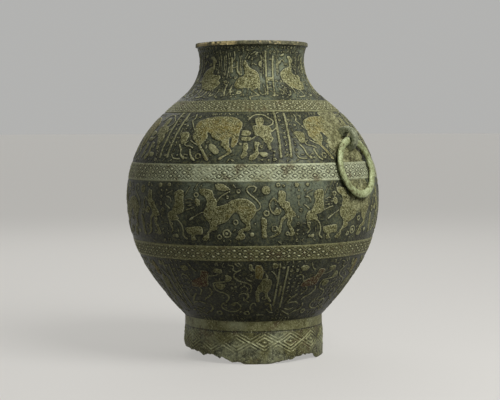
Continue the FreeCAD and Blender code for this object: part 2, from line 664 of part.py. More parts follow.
failed = [item.Name for item in doc.Objects if "Invalid" in item.State or "Error" in item.State]
if failed:
    raise RuntimeError("failed objects: " + ", ".join(failed))
os.makedirs("parts", exist_ok=True)
for node in nodes:
    if node.Shape.isNull() or not node.Shape.isValid():
        raise RuntimeError(node.Label + " has no valid shape")
    node.Shape.exportStep(f"parts/{node.Label}.step")
    box = node.Shape.BoundBox
    print(f"{node.Label}: {len(node.Shape.Solids)} solid, volume {node.Shape.Volume:.0f} mm3, "
          f"z {box.ZMin:.2f} to {box.ZMax:.2f}, x {box.XMin:.2f} to {box.XMax:.2f}")
print(f"hinge at x {size('hinge_x'):.3f}, z {size('hinge_level'):.3f}, "
      f"ring lean {size('ring_lean'):.3f} degrees")
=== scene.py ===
# A cast bronze hu dug from the ground: picture friezes in flat relief between interlaced bands, on a broken foot.
# Lengths below are in millimetres and turns in degrees about the upright axis, from the front, unless noted.
from functools import partial

import bpy
import numpy as np
from mathutils import Matrix, Vector


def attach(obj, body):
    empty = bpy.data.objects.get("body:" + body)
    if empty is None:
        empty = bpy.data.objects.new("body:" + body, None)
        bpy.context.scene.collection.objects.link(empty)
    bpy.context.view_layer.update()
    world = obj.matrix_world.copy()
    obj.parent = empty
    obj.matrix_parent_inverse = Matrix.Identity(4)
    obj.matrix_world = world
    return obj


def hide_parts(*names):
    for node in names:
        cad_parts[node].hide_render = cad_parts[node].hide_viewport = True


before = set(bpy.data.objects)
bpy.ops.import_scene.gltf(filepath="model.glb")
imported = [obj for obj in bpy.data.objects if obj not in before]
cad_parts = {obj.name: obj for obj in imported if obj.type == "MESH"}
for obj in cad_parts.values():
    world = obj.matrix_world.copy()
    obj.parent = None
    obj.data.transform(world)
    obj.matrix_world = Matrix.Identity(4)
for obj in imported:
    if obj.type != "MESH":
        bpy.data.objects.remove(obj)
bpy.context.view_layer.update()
print("frame loaded:", sorted(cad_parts))

mm = 0.001

# Side view of the wall: radius and height of the places where its curves meet.
vase = {
    "footBase": (79.0, 0.0),
    "footTop": (78.0, 46.6),
    "waist": (114.9, 92.8),
    "waistCurve": 350.0,
    "belly": (141.5, 178.0),
    "shoulder": (98.6, 272.4),
    "collar": (77.4, 291.0),
    "neck": (58.3, 330.0),
    "underLip": (61.2, 345.4),
    "paintedLightTurn": 52,  # turn of the side painted lighter: the pale dust there is also painted light
}


def levelArc(z, start, end, level):
    # Arc of the side view through two places with its centre at a level: axis + side * sqrt(curve^2 - (z - level)^2).
    (r0, z0), (r1, z1) = start, end
    axis = (r1 * r1 - r0 * r0 + (z1 - level) ** 2 - (z0 - level) ** 2) / (2 * (r1 - r0))
    curve = (r0 - axis) ** 2 + (z0 - level) ** 2
    return axis + np.sign(r0 - axis) * np.sqrt(np.maximum(curve - (z - level) ** 2, 0))


def straight(z, start, end):
    # Radius on the straight line between two places of the side view.
    return start[0] + (end[0] - start[0]) * (z - start[1]) / (end[1] - start[1])


def wallRadius(z):
    # Radius of the plain wall at a height: two straight pieces and five arcs, joined end to end.
    start, end = np.array(vase["footTop"]), np.array(vase["waist"])
    chord = end - start
    length = np.hypot(*chord)
    left = np.array([-chord[1], chord[0]]) / length
    centre = (start + end) / 2 + left * np.sqrt(vase["waistCurve"] ** 2 - length ** 2 / 4)
    waistArc = centre[0] + np.sqrt(vase["waistCurve"] ** 2 - (z - centre[1]) ** 2)
    bellyLevel = vase["belly"][1]
    neckLevel = vase["neck"][1]
    return np.select(
        [z <= vase["footTop"][1], z <= vase["waist"][1], z <= bellyLevel, z <= vase["shoulder"][1],
         z <= vase["collar"][1], z <= neckLevel],
        [straight(z, vase["footBase"], vase["footTop"]), waistArc,
         levelArc(z, vase["waist"], vase["belly"], bellyLevel),
         levelArc(z, vase["shoulder"], vase["belly"], bellyLevel),
         straight(z, vase["shoulder"], vase["collar"]),
         levelArc(z, vase["collar"], vase["neck"], neckLevel)],
        levelArc(z, vase["underLip"], vase["neck"], neckLevel))


def wallLine(top, bottom, cell):
    # Places at even steps down the side view: slant from the top, radius, height, and the outward normal there, each
    # a column of numbers.
    z = np.linspace(top, bottom, 4000)
    r = wallRadius(z)
    run = np.concatenate([[0], np.cumsum(np.hypot(np.diff(r), np.diff(z)))])
    slant = np.linspace(0, run[-1], int(round(run[-1] / cell)) + 1)[:, None]
    down = np.stack([np.interp(slant, run, np.gradient(r, run)), np.interp(slant, run, np.gradient(z, run))])
    down /= np.hypot(*down)
    return slant, np.interp(slant, run, r), np.interp(slant, run, z), -down[1], down[0]


def mottle(places, grain, seed):
    # Value noise from 0 to 1: every corner of a lattice of cells of one grain holds a fixed number, and a place takes
    # the smooth blend of the eight corners round it.
    cell = places / grain
    base = np.floor(cell).astype(np.int64)
    part = cell - base
    part = part * part * (3 - 2 * part)
    total = 0.0
    for corner in range(8):
        step = np.array([corner & 1, corner >> 1 & 1, corner >> 2])
        key = ((base + step) * np.array([73856093, 19349663, 83492791])).sum(axis=-1) + seed * 7919
        key = (key ^ (key >> 11)) * 668265263 & 0xFFFFFFFF
        key = (key ^ (key >> 15)) & 0xFFFF
        total = total + key / 65535 * np.prod(np.where(step, part, 1 - part), axis=-1)
    return total


def smoothStep(value, low, high):
    # 0 below low, 1 above high, and 3 t^2 - 2 t^3 between, where t goes from 0 to 1 on the way.
    part = np.clip((value - low) / (high - low), 0, 1)
    return part * part * (3 - 2 * part)


def turnAway(turn, centre):
    # Angle from a centre to a turn, from -180 to 180.
    return (turn - centre + 180) % 360 - 180


def turnsRound(radius, cell):
    # Turns at even steps of about one cell round a circle, in a row.
    columns = int(round(2 * np.pi * radius / cell))
    return 360 * np.arange(columns)[None, :] / columns


def ringGrid(turn, radius, height):
    # Places on circles about the axis: x = radius * sin(turn), y = -radius * cos(turn), z = height.
    angle = np.radians(turn)
    return np.stack(np.broadcast_arrays(radius * np.sin(angle), -radius * np.cos(angle), height), axis=-1)


def addPiece(name, mesh):
    # A mesh that takes over part of the cast vessel's skin and moves with it.
    piece = bpy.data.objects.new(name, mesh)
    bpy.context.scene.collection.objects.link(piece)
    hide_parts("vessel")
    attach(piece, "vessel")


def makeSurface(name, places, material, facts):
    # A piece on a grid of rows down the wall and columns round the axis, which closes on itself round the axis.
    # Facts are the numbers that the material reads at each place.
    rows, columns = places.shape[:2]
    index = np.arange(rows * columns).reshape(rows, columns)
    here, below = index[:-1], index[1:]
    faces = np.stack([here, below, np.roll(below, -1, axis=1), np.roll(here, -1, axis=1)], axis=-1).reshape(-1, 4)
    mesh = bpy.data.meshes.new(name)
    mesh.vertices.add(rows * columns)
    mesh.vertices.foreach_set("co", (places.reshape(-1) * mm).astype(np.float32))
    mesh.loops.add(faces.size)
    mesh.loops.foreach_set("vertex_index", faces.reshape(-1).astype(np.int32))
    mesh.polygons.add(len(faces))
    mesh.polygons.foreach_set("loop_start", np.arange(0, faces.size, 4, dtype=np.int32))
    mesh.update(calc_edges=True)
    mesh.shade_smooth()
    for key, values in facts.items():
        mesh.attributes.new(key, "FLOAT", "POINT").data.foreach_set("value", values.reshape(-1).astype(np.float32))
    mesh.materials.append(material)
    addPiece(name, mesh)
    print(name, "made:", rows, "by", columns)


# Drawing: a frieze is one panel, cast again and again round the vessel. Its figures are listed by kind. A shape, with
# a smooth outline, and a plate, with corners, are filled: (tone, places). A line, which is smooth, a bar, which is
# straight, a ring and a disc are (tone, size, places), where size is a width or a radius, and a ring's tone is
# (tone, width). A place is (turn, slant from the frieze's upper edge). Tone goes from -1, red with cuprite, over 0,
# khaki, to 1, pale crust. Cuts are incised lines, listed by their width.
def smoothPath(points, closed, steps=5):
    # Catmull-Rom curve through the points: a cubic between each two of them, whose slope at a point is half the way
    # from the point before to the point after.
    points = np.asarray(points, float)
    if closed:
        wide = np.vstack([points[-1], points, points[:2]])
    else:
        wide = np.vstack([2 * points[0] - points[1], points, 2 * points[-1] - points[-2]])
    p0, p1, p2, p3 = (part[:, None] for part in (wide[:-3], wide[1:-2], wide[2:-1], wide[3:]))
    t = (np.arange(steps) / steps)[None, :, None]
    curve = (2 * p1 + (p2 - p0) * t + (2 * p0 - 5 * p1 + 4 * p2 - p3) * t ** 2
             + (3 * p1 - p0 - 3 * p2 + p3) * t ** 3) / 2
    curve = curve.reshape(-1, 2)
    return np.vstack([curve, curve[:1] if closed else points[-1:]])


def pathDistance(turn, slant, perDegree, path):
    # Distance to a path: the least of the distances to its straight pieces. The second value is true inside a
    # closed path, where a level line from the place crosses the path an odd number of times.
    best = np.full(turn.shape, 1e6)
    inside = np.zeros(turn.shape, bool)
    for (a0, s0), (a1, s1) in zip(path[:-1], path[1:]):
        x, y = (turn - a0) * perDegree, slant - s0
        dx, dy = (a1 - a0) * perDegree, s1 - s0
        part = np.clip((x * dx + y * dy) / np.maximum(dx * dx + dy * dy, 1e-9), 0, 1)
        best = np.minimum(best, np.hypot(x - part * dx, y - part * dy))
        if s0 != s1:
            crossed = (s0 > slant) != (s1 > slant)
            inside ^= crossed & (turn < a0 + (a1 - a0) * (slant - s0) / (s1 - s0))
    return best, inside


beyond = 8.0  # distance of a place that no figure or incised line is near


def drawPanel(frieze, turn, slant, perDegree, width):
    # Signed distance to the nearest figure's edge, above 0 inside it, that figure's tone, and the distance to the
    # nearest incised line, less half its width.
    figure = np.full(turn.shape, -beyond)
    tone = np.zeros(turn.shape)
    incised = np.full(turn.shape, beyond)
    drawing = [(kind, shade, 0, places) for kind in ("shape", "plate") for shade, places in frieze.get(kind, [])]
    drawing += [(kind, *entry) for kind in ("bar", "line", "ring", "disc") for entry in frieze.get(kind, [])]
    drawing += [("cut", 0, cut, places) for cut, paths in frieze["cuts"].items() for places in paths]
    for kind, shade, size, places in drawing:
        places = np.array(places, float)
        closed = kind in ("shape", "plate")
        if kind in ("bar", "plate"):
            path = np.vstack([places, places[:1]]) if closed else places
        else:
            path = smoothPath(places, closed) if len(places) > 1 else places
        for wrap in (-width, 0, width):
            moved = path + (wrap, 0)
            reach = beyond + size
            columns = np.flatnonzero((turn[0] > moved[:, 0].min() - reach / perDegree.min())
                                     & (turn[0] < moved[:, 0].max() + reach / perDegree.min()))
            rows = np.flatnonzero((slant[:, 0] > moved[:, 1].min() - reach)
                                  & (slant[:, 0] < moved[:, 1].max() + reach))
            if not len(columns) or not len(rows):
                continue
            window = np.ix_(rows, columns)
            near = turn[window], slant[window], perDegree[rows]
            if len(moved) == 1:
                far = np.hypot((near[0] - moved[0, 0]) * near[2], near[1] - moved[0, 1])
                value = size - far if kind == "disc" else shade[1] / 2 - np.abs(far - size)
            else:
                far, inside = pathDistance(*near, moved)
                value = np.where(inside, far, -far) if closed else size / 2 - far
            if kind == "cut":
                incised[window] = np.minimum(incised[window], -value)
                continue
            better = value > figure[window]
            figure[window] = np.where(better, value, figure[window])
            tone[window] = np.where(better, shade[0] if kind == "ring" else shade, tone[window])
    return figure, tone, incised


marks = {
    "shift": 0.4, "tone": 0.15,  # how far a mark strays in its cell, and its shade
    "strokeLeast": 0.8, "strokeMore": 1.2, "strokeHalf": 0.5,  # half the length, what chance adds, half the width
    "ring": 1.25, "ringHalf": 0.42, "dot": 0.85,
    "strokes": 0.55, "rings": 0.8,  # share of strokes, and of strokes and rings
}


def fillGround(figure, tone, turn, slant, perDegree, filler):
    # Small marks on bare ground: each cell of a lattice holds a dot, a ring or a stroke, off its centre by an amount
    # fixed for that cell, where the nearest figure is far enough, and a share of the cells stays empty. A stroke's
    # distance is that to a short segment.
    cell, free, empty = filler
    along = turn * perDegree.mean()
    column, row = np.floor(along / cell), np.floor(slant / cell)
    seed = (column * 73856093 + row * 19349663).astype(np.int64)
    chance = [((seed * prime >> 7) & 0xFFF) / 4095 for prime in (2654435761, 40503, 668265263, 374761393, 69069)]
    centreX = (column + 0.5 + marks["shift"] * (chance[0] - 0.5)) * cell
    centreY = (row + 0.5 + marks["shift"] * (chance[1] - 0.5)) * cell
    rows, columns = turn.shape
    there = (np.clip(np.round(centreY / (slant[1, 0] - slant[0, 0])).astype(int), 0, rows - 1),
             np.round((centreX / perDegree.mean() - turn[0, 0]) / (turn[0, 1] - turn[0, 0])).astype(int) % columns)
    x, y = along - centreX, slant - centreY
    lean = np.pi * chance[2]
    length = marks["strokeLeast"] + marks["strokeMore"] * chance[3]
    run = np.clip(x * np.cos(lean) + y * np.sin(lean), -length, length)
    stroke = marks["strokeHalf"] - np.hypot(x - run * np.cos(lean), y - run * np.sin(lean))
    ring = marks["ringHalf"] - np.abs(np.hypot(x, y) - marks["ring"])
    dot = marks["dot"] - np.hypot(x, y)
    mark = np.where(chance[4] < marks["strokes"], stroke, np.where(chance[4] < marks["rings"], ring, dot))
    mark = np.where((figure[there] < -free) & (((seed * 97531 >> 5) & 0xFF) / 255 > empty), mark, -beyond)
    return np.maximum(figure, mark), np.where(mark > figure, marks["tone"], tone)


def hexColour(code):
    # A written sRGB colour, or a patina by its name, as linear light.
    code = patina.get(code, code)
    parts = np.array([int(code[i:i + 2], 16) for i in (1, 3, 5)]) / 255
    parts = np.where(parts <= 0.04045, parts / 12.92, ((parts + 0.055) / 1.055) ** 2.4)
    return (*parts, 1.0)


def newMaterial(name):
    # A material without nodes, and addNode with that material filled in.
    material = bpy.data.materials.new(name)
    material.use_nodes = True
    material.node_tree.nodes.clear()
    return material, partial(addNode, material)


def addNode(material, kind, inputs=(), output=None, stops=(), **settings):
    # Adds a node and returns its output of that name, or else the first in use. Settings are the node's properties.
    # Inputs go to its sockets in order, or by name or number in a dictionary: another node's output, a number or a
    # colour for hexColour. Stops are the places and colours of a ramp.
    node = material.node_tree.nodes.new("ShaderNode" + kind)
    for key, value in settings.items():
        setattr(node, key, value)
    for key, value in inputs.items() if isinstance(inputs, dict) else enumerate(inputs):
        if isinstance(value, bpy.types.NodeSocket):
            material.node_tree.links.new(value, node.inputs[key])
        elif value is not None:
            node.inputs[key].default_value = hexColour(value) if isinstance(value, str) else value
    for number, (place, code) in enumerate(stops):
        stop = node.color_ramp.elements[number] if number < 2 else node.color_ramp.elements.new(place)
        stop.position = place
        stop.color = hexColour(code)
    used = [socket for socket in node.outputs if socket.enabled]
    return node.outputs[output] if output else used[0] if used else None


soft = {"interpolation_type": "SMOOTHSTEP"}  # a Map Range that eases in and out, from 0 to 1
colours = {"data_type": "RGBA"}  # a Mix of two colours, whose sockets are 0, 6 and 7


def finishMaterial(material, colour, roughness, bumps, metallic, gloss=0.5):
    # Ends a material: bumps is a list of (height source, depth in millimetres).
    normal = None
    for source, depth in bumps:
        normal = addNode(material, "Bump", {"Height": source, "Distance": depth * mm, "Strength": 1.0,
                                            "Normal": normal})
    shader = addNode(material, "BsdfPrincipled", {"Base Color": colour, "Roughness": roughness, "Normal": normal,
                                                  "Metallic": metallic, "Specular IOR Level": gloss})
    addNode(material, "OutputMaterial", {"Surface": shader})


# Patinas: buried high-tin bronze, cast in piece moulds, now under dark sulphide, khaki and pale green copper crusts.
patina = {
    # angle is painted shade at the foot of the relief.
    "groundDeep": "#10110c", "ground": "#23251b", "groundPale": "#41443a", "dust": "#78816b", "angle": "#100f0a",
    "figureDeep": "#3d3b24", "figure": "#706e44", "figurePale": "#a5a477", "spark": "#d2d2a8", "rust": "#4c321f",
    # The band's deep and pale shades also carry painted shade in its pits and a painted highlight on its beads.
    "goldenRust": "#857434", "outline": "#a5a57c", "bandDeep": "#23220f", "band": "#6d6b41", "bandPaleAndHighlight": "#a8a87a",
    # The two dust colours are partly dust and partly painted light and sheen.
    "greenDust": "#bfc5a3", "crustDeep": "#3f3b24", "crust": "#7f7e57", "crustPale": "#b4b488", "gold": "#cdbb84",
}


def friezeMaterial():
    # Cast bronze with figures in flat relief: a smooth dark sulphide ground under grey dust, which is also painted
    # light, with painted shade in the angle of the relief, and khaki figures full of fine curls, whose arrises have
    # worn pale in parts. Near the lugs a pale crust lies over all. Curls 3.4 mm, flecks 1.2 and 3 mm, blotches 12 mm.
    material, add = newMaterial("patinatedFriezeBronze")
    place = add("TexCoord", output="Object")
    blotch, fleck, spark, curl = (
        add("TexNoise", {"Vector": place, "Scale": 1 / (size * mm), "Detail": detail, "Roughness": rough})
        for size, detail, rough in ((12, 4.0, 0.65), (3.0, 4.0, 0.7), (1.2, 1.0, 0.5), (3.4, 0.0, 0.5)))
    figure, tone, incised, dust, crust = (
        add("Attribute", output="Fac", attribute_name=key) for key in ("figure", "tone", "incised", "dust", "crust"))
    edge = add("Math", (figure, add("Math", (fleck, 1.3, -0.65), operation="MULTIPLY_ADD")), operation="ADD")
    curled = add("Math", (add("Math", (curl, 0.5), operation="SUBTRACT"),), operation="ABSOLUTE")

    # Ground: grey dust over it, which is also painted light, flecks and threads of khaki, and painted shade beside the
    # figures.
    ground = add("ValToRGB", (blotch,), stops=[(0.38, "groundDeep"), (0.50, "ground"), (0.64, "groundPale")])
    # Partly dust, partly painted light: its amount is higher on the lit side and where a sheen or light from above
    # shows.
    dustAndLightFilm = add("Math", (dust, add("MapRange", (fleck, 0.36, 0.58, 0.25))), operation="MULTIPLY")
    khaki = add("Math", (add("MapRange", (fleck, 0.54, 0.60, 0, 0.6), **soft),
                         add("MapRange", (curled, 0.075, 0.02, 0, 0.18), **soft)), operation="MAXIMUM")
    # Painted shade: a dark band on the ground just outside each figure's edge.
    paintedReliefShade = add("MapRange", (figure, -1.6, -0.5, 0, 0.7), **soft)
    for amount, shade in (dustAndLightFilm, "dust"), (khaki, "figure"), (paintedReliefShade, "angle"):
        ground = add("Mix", {0: amount, 6: ground, 7: shade}, **colours)

    # Figures: golden in blotches, red or pale by their tone, with curls, a worn arris and incised lines.
    mixed = add("Math", (fleck, 0.5, add("Math", (spark, 0.5), operation="MULTIPLY")), operation="MULTIPLY_ADD")
    relief = add("ValToRGB", (mixed,), stops=[(0.40, "figureDeep"), (0.50, "figure"), (0.60, "figurePale")])
    golden = add("MapRange", (add("Math", (blotch, tone), operation="SUBTRACT"), 0.54, 0.74, 0, 0.6), **soft)
    red = add("MapRange", (tone, -0.35, -0.9), **soft)
    curls = add("MapRange", (curled, 0.075, 0.02, 0, 0.6), **soft)
    pale = add("MapRange", (tone, 0.1, 1.0), **soft)
    beside = add("Math", (add("Math", (edge, 0.3), operation="SUBTRACT"),), operation="ABSOLUTE")
    arris = add("Math", (add("MapRange", (beside, 0.6, 0.1, 0, 0.8)), add("MapRange", (blotch, 0.40, 0.56), **soft)),
                operation="MULTIPLY")
    lines = add("MapRange", (incised, 0.2, -0.1), **soft)
    for amount, shade in ((golden, "goldenRust"), (red, "rust"), (curls, "figurePale"), (pale, "crustPale"),
                          (arris, "outline"), (lines, "figureDeep")):
        relief = add("Mix", {0: amount, 6: relief, 7: shade}, **colours)

    # Both together, sparks of bare metal, and the crust over them.
    sparks = add("Math", (add("MapRange", (spark, 0.60, 0.68), **soft),
                          add("MapRange", (figure, -1.0, 0.5, 0.12, 0.75))), operation="MULTIPLY")
    grown = add("Math", (mixed, 0.55, add("Math", (blotch, 0.45), operation="MULTIPLY")), operation="MULTIPLY_ADD")
    shades = add("ValToRGB", (grown,), stops=[(0.41, "crustDeep"), (0.50, "crust"), (0.60, "crustPale")])
    over = add("MapRange", (add("Math", (crust, fleck), operation="ADD"), 0.90, 1.12), **soft)
    colour = ground
    inside = add("MapRange", (edge, -0.30, 0.25), **soft)
    for amount, shade in (inside, relief), (sparks, "spark"), (over, shades):
        colour = add("Mix", {0: amount, 6: colour, 7: shade}, **colours)
    finishMaterial(material, colour, add("MapRange", (figure, -1.0, 0.5, 0.46, 0.62)),
                   [(add("MapRange", (figure, -0.6, 0.4), **soft), 0.35), (fleck, 0.28), (spark, 0.14)], 0.12, 0.2)
    return material


def bandMaterial(name):
    # Cast bronze interlace, whose beads and strands have worn pale, with a painted highlight on the beads, while earth
    # and painted shade stay dark in the pits between, with green dust, also a painted sheen, and some rust over it.
    # Flecks 1.2 and 2.6 mm, blotches 14 mm.
    material, add = newMaterial(name)
    place = add("TexCoord", output="Object")
    blotch, fleck, spark = (
        add("TexNoise", {"Vector": place, "Scale": 1 / (size * mm), "Detail": detail, "Roughness": rough})
        for size, detail, rough in ((14, 4.0, 0.65), (2.6, 4.0, 0.7), (1.2, 1.0, 0.5)))
    rise, dust = (add("Attribute", output="Fac", attribute_name=key) for key in ("rise", "dust"))
    # Painted light: the colour follows the height of the relief, from painted shade with earth in the pits to worn
    # pale beads with a painted highlight on top.
    level = add("Math", (rise, add("Math", (fleck, 0.8, -0.4), operation="MULTIPLY_ADD")), operation="ADD")
    colour = add("ValToRGB", (level,), stops=[(0.10, "bandDeep"), (0.42, "band"), (0.74, "bandPaleAndHighlight"), (1.0, "spark")])
    # Green dust, heaviest on the middle band, is also a painted sheen there.
    green = add("Math", (dust, add("MapRange", (blotch, 0.36, 0.58, 0.3))), operation="MULTIPLY")
    pitEarthAndShade = add("MapRange", (level, 0.34, 0.12, 0, 0.8), **soft)
    rusty = add("MapRange", (blotch, 0.44, 0.32, 0, 0.45), **soft)
    sparks = add("MapRange", (spark, 0.62, 0.70, 0, 0.7), **soft)
    for amount, shade in (green, "greenDust"), (pitEarthAndShade, "bandDeep"), (rusty, "rust"), (sparks, "spark"):
        colour = add("Mix", {0: amount, 6: colour, 7: shade}, **colours)
    finishMaterial(material, colour, add("MapRange", (fleck, 0, 1, 0.42, 0.66)),
                   [(rise, 0.35), (fleck, 0.40), (spark, 0.20)], 0.25, 0.4)
    return material


def plainMaterial(name, deep, middle, pale):
    # Bare cast bronze under a thin crust: three shades in blotches of 10 mm and flecks of 2.5 and 1.1 mm, and the
    # attribute bite, where there is one, shows the yellow metal of a chip.
    material, add = newMaterial(name)
    place = add("TexCoord", output="Object")
    blotch, fleck, spark = (
        add("TexNoise", {"Vector": place, "Scale": 1 / (size * mm), "Detail": detail, "Roughness": rough})
        for size, detail, rough in ((10, 4.0, 0.65), (2.5, 4.0, 0.7), (1.1, 1.0, 0.5)))
    both = add("Math", (fleck, 0.5, add("Math", (blotch, 0.5), operation="MULTIPLY")), operation="MULTIPLY_ADD")
    colour = add("ValToRGB", (both,), stops=[(0.38, deep), (0.50, middle), (0.62, pale)])
    bite = add("Attribute", output="Fac", attribute_name="bite")
    sparks = add("MapRange", (spark, 0.60, 0.70, 0, 0.5), **soft)
    for amount, shade in (bite, "gold"), (sparks, pale):
        colour = add("Mix", {0: amount, 6: colour, 7: shade}, **colours)
    finishMaterial(material, colour, add("MapRange", (fleck, 0, 1, 0.42, 0.70)), [(fleck, 0.35), (spark, 0.15)], 0.2)
    return material


friezeBronze = friezeMaterial()
bandBronze = bandMaterial("patinatedInterlaceBronze")
footBronze = bandMaterial("patinatedFootBronze")
ringBronze = plainMaterial("crustedRingBronze", "#645e38", "#a3ad7a", "#c4cc9e")
lugBronze = plainMaterial("crustedLugBronze", "#5f6448", "#8b9072", "#b2b694")
lipBronze = plainMaterial("goldenLipBronze", "#38382a", "#605e42", "#928e6c")
coreBronze = plainMaterial("burialDarkBronze", "#24261d", "#34382b", "#4f523e")
print("materials made")

# Friezes: where each lies on the wall, the dust on it above and below, which is also painted light and a painted
# sheen, how pale its figures are, the marks on its ground as (cell, bare border, share of empty cells), the turns at
# which its panels start, and the first panel.
neckFrieze = {
    "top": 345.4, "bottom": 285.0, "dust": (1.5, 0.9), "pale": 1.0, "filler": (4.8, 2.2, 0.15),
    "starts": [9, 99, 189, 279],
    "shape": [
        (-0.05, [(27.6, 18), (29.6, 17.6), (31, 21.5), (34, 25.6), (38, 27.6), (41.2, 30.2), (43, 34.5), (43.2, 40),
            (42, 46.5), (39.5, 51.4), (36.6, 53.2), (34.8, 50), (31, 50.6), (28, 49.8), (25.5, 51.6), (22, 50.4),
            (19.8, 47), (20.2, 42), (22.6, 37.6), (25.8, 35.8), (28.6, 33), (28.4, 28), (27.2, 23)]),
        (0.1, [(43.4, 19), (45.8, 18.8), (46.4, 22), (44.8, 24.6), (43.1, 22.6)]),
        (0.35, [(79.8, 12.6), (83.2, 14.2), (85.2, 17.6), (83.4, 20), (81.4, 22.4), (79.6, 20.4)]),
        (0, [(66.4, 32), (69, 28.8), (74, 26.4), (79.4, 24.4), (80.4, 21), (82.6, 21.4), (83.2, 25), (81.6, 29.6),
            (84.6, 33), (90, 33.4), (93, 36), (91.4, 40), (94, 43), (91.6, 49), (87, 52.6), (82.4, 53), (77.4, 50.6),
            (73, 49.6), (71.4, 45.4), (68, 42), (66.2, 37)]),
    ],
    "plate": [
        (0.2, [(50.4, 36.5), (57.2, 36.5), (56.8, 41), (50.3, 41)]),
    ],
    "bar": [
        (0.35, 2, [(50.5, 8), (51, 25), (50.3, 39)]), (0.15, 1.5, [(50.3, 38), (49.6, 52), (48.6, 61)]),
        (0.55, 1.9, [(59, 13), (58.3, 26), (57, 39)]), (0.15, 1.5, [(57, 38), (55.8, 50), (54.3, 61)]),
    ],
    "line": [
        (0.35, 1.8, [(29.2, 18.5), (31.6, 24), (35, 27), (39.6, 29.6), (42, 33), (42.7, 38), (43.2, 44)]),
        (0.8, 1.2, [(38, 9.1), (40.3, 7.8)]), (0.8, 1.3, [(40, 11), (42.4, 9)]), (0.5, 1.1, [(35.1, 11), (36.9, 10)]),
        (0.4, 1.2, [(32.3, 15.7), (33.8, 13.2)]), (0.3, 1, [(36.1, 17.2), (37.1, 14.4)]),
        (0.3, 0.9, [(39.4, 14.2), (41.6, 12.8)]), (0.3, 0.9, [(29.5, 15.5), (31, 12), (33, 9)]),
        (0.1, 1.3, [(35.2, 52), (36.6, 55), (38.8, 57.4), (40.2, 60.4), (41.6, 62.6)]),
        (0.05, 1.5, [(41.4, 61.4), (38, 63.2), (34.6, 64.6)]),
        (0.1, 1.2, [(43, 45.5), (42.2, 50), (42, 55), (43.6, 60), (45.6, 62)]), (0.5, 1.4, [(34.2, 64.4), (34.9, 69)]),
        (0.25, 1.5, [(15.4, 25.2), (17.6, 25.2), (20, 24.8), (20.9, 29), (22.4, 31.8), (24.6, 33.6)]),
        (0.25, 1.3, [(20, 18.6), (20.3, 22), (20.3, 25)]), (0.3, 2.4, [(14.4, 15), (14.6, 22), (15, 29.6)]),
        (0.1, 1.1, [(17.2, 8), (17.8, 13), (16.8, 18)]), (0.3, 1.2, [(28.9, 59.4), (29.3, 64)]),
        (0, 1.2, [(17.6, 46), (17, 54), (18.6, 61)]), (0, 1.2, [(13, 42), (12, 52), (13.6, 63)]),
        (0.7, 1.9, [(68.7, 12.3), (71.8, 11)]), (0.7, 2, [(66.9, 20), (67.9, 18.2)]),
        (0.2, 0.9, [(69, 17.2), (71.2, 16.6), (72.6, 18.8)]),
        (0.35, 1.7, [(67.4, 36), (68.8, 30.6), (72, 27.6), (76, 25.8), (80.4, 24.4)]),
        (0.2, 1.5, [(74.6, 50), (75.2, 54.4), (74.4, 58.6)]), (0.1, 1.4, [(82.4, 52.6), (83.6, 57), (83, 61)]),
        (0.7, 1.6, [(76.2, 64.6), (79.4, 64.2), (82.6, 62.6)]), (0.5, 1.6, [(90, 62.4), (93, 60.6)]),
        (0.15, 1.5, [(68, 62), (70, 58), (70.4, 54)]), (0.15, 1.2, [(61.6, 52), (63.4, 56), (62, 60)]),
    ],
    "ring": [
        ((0.9, 1.6), 1.9, [(25, 57.4)]),
    ],
    "disc": [
        (0.3, 1.5, [(53.3, 62.3)]), (0.2, 1.3, [(56.2, 62)]), (0.6, 1.1, [(20.8, 60.6)]), (0.8, 1.6, [(78.6, 13.8)]),
    ],
    "cuts": {0.7: [
        [(22.4, 43.4), (24.4, 40.8), (27, 42.4), (27.2, 46.4), (24.8, 48.2), (22.8, 46.6)],
        [(31, 37), (34, 34.6), (37.6, 36.2), (38.4, 40.6), (36.4, 43.6)],
        [(38.4, 50), (36.4, 47), (37.4, 44.4), (40.4, 45)],
        [(73.4, 33), (77, 31), (79.8, 33.4), (78.6, 37.2), (75, 38)], [(71.6, 41), (75.4, 40.6), (78.8, 42.4)],
        [(82, 38), (86, 36.4), (89.6, 38.4)], [(80.6, 46), (85, 44), (89.4, 46)],
    ], 0.6: [
        [(24.6, 44.8), (26, 44.4)], [(30.4, 46), (33, 43), (33.4, 39.4)], [(31, 27.4), (34, 31), (38, 33)],
    ]},
}
# Reeds stand between the neck's birds, each a fine bent stroke.
neckFrieze["line"] += [
    (0.05, 0.9, [(turn, 44 + turn * 7 % 9), (turn + 1, 53), (turn + 0.2, 61 + turn * 5 % 4)])
    for turn in (11.0, 15.4, 22.5, 27.0, 31.6, 46.4, 60.0, 64.0, 66.2, 78.8, 86.6, 89.0, 95.0)]
neckFrieze["line"] += [
    (0.05, 0.8, [(turn, 6 + turn * 3 % 7), (turn + 0.7, 20), (turn, 30 + turn * 3 % 8)])
    for turn in (10.4, 12.6, 23.2, 25.0, 45.4, 47.6, 62.6, 64.4, 88.6, 91.0, 95.4, 97.4)]

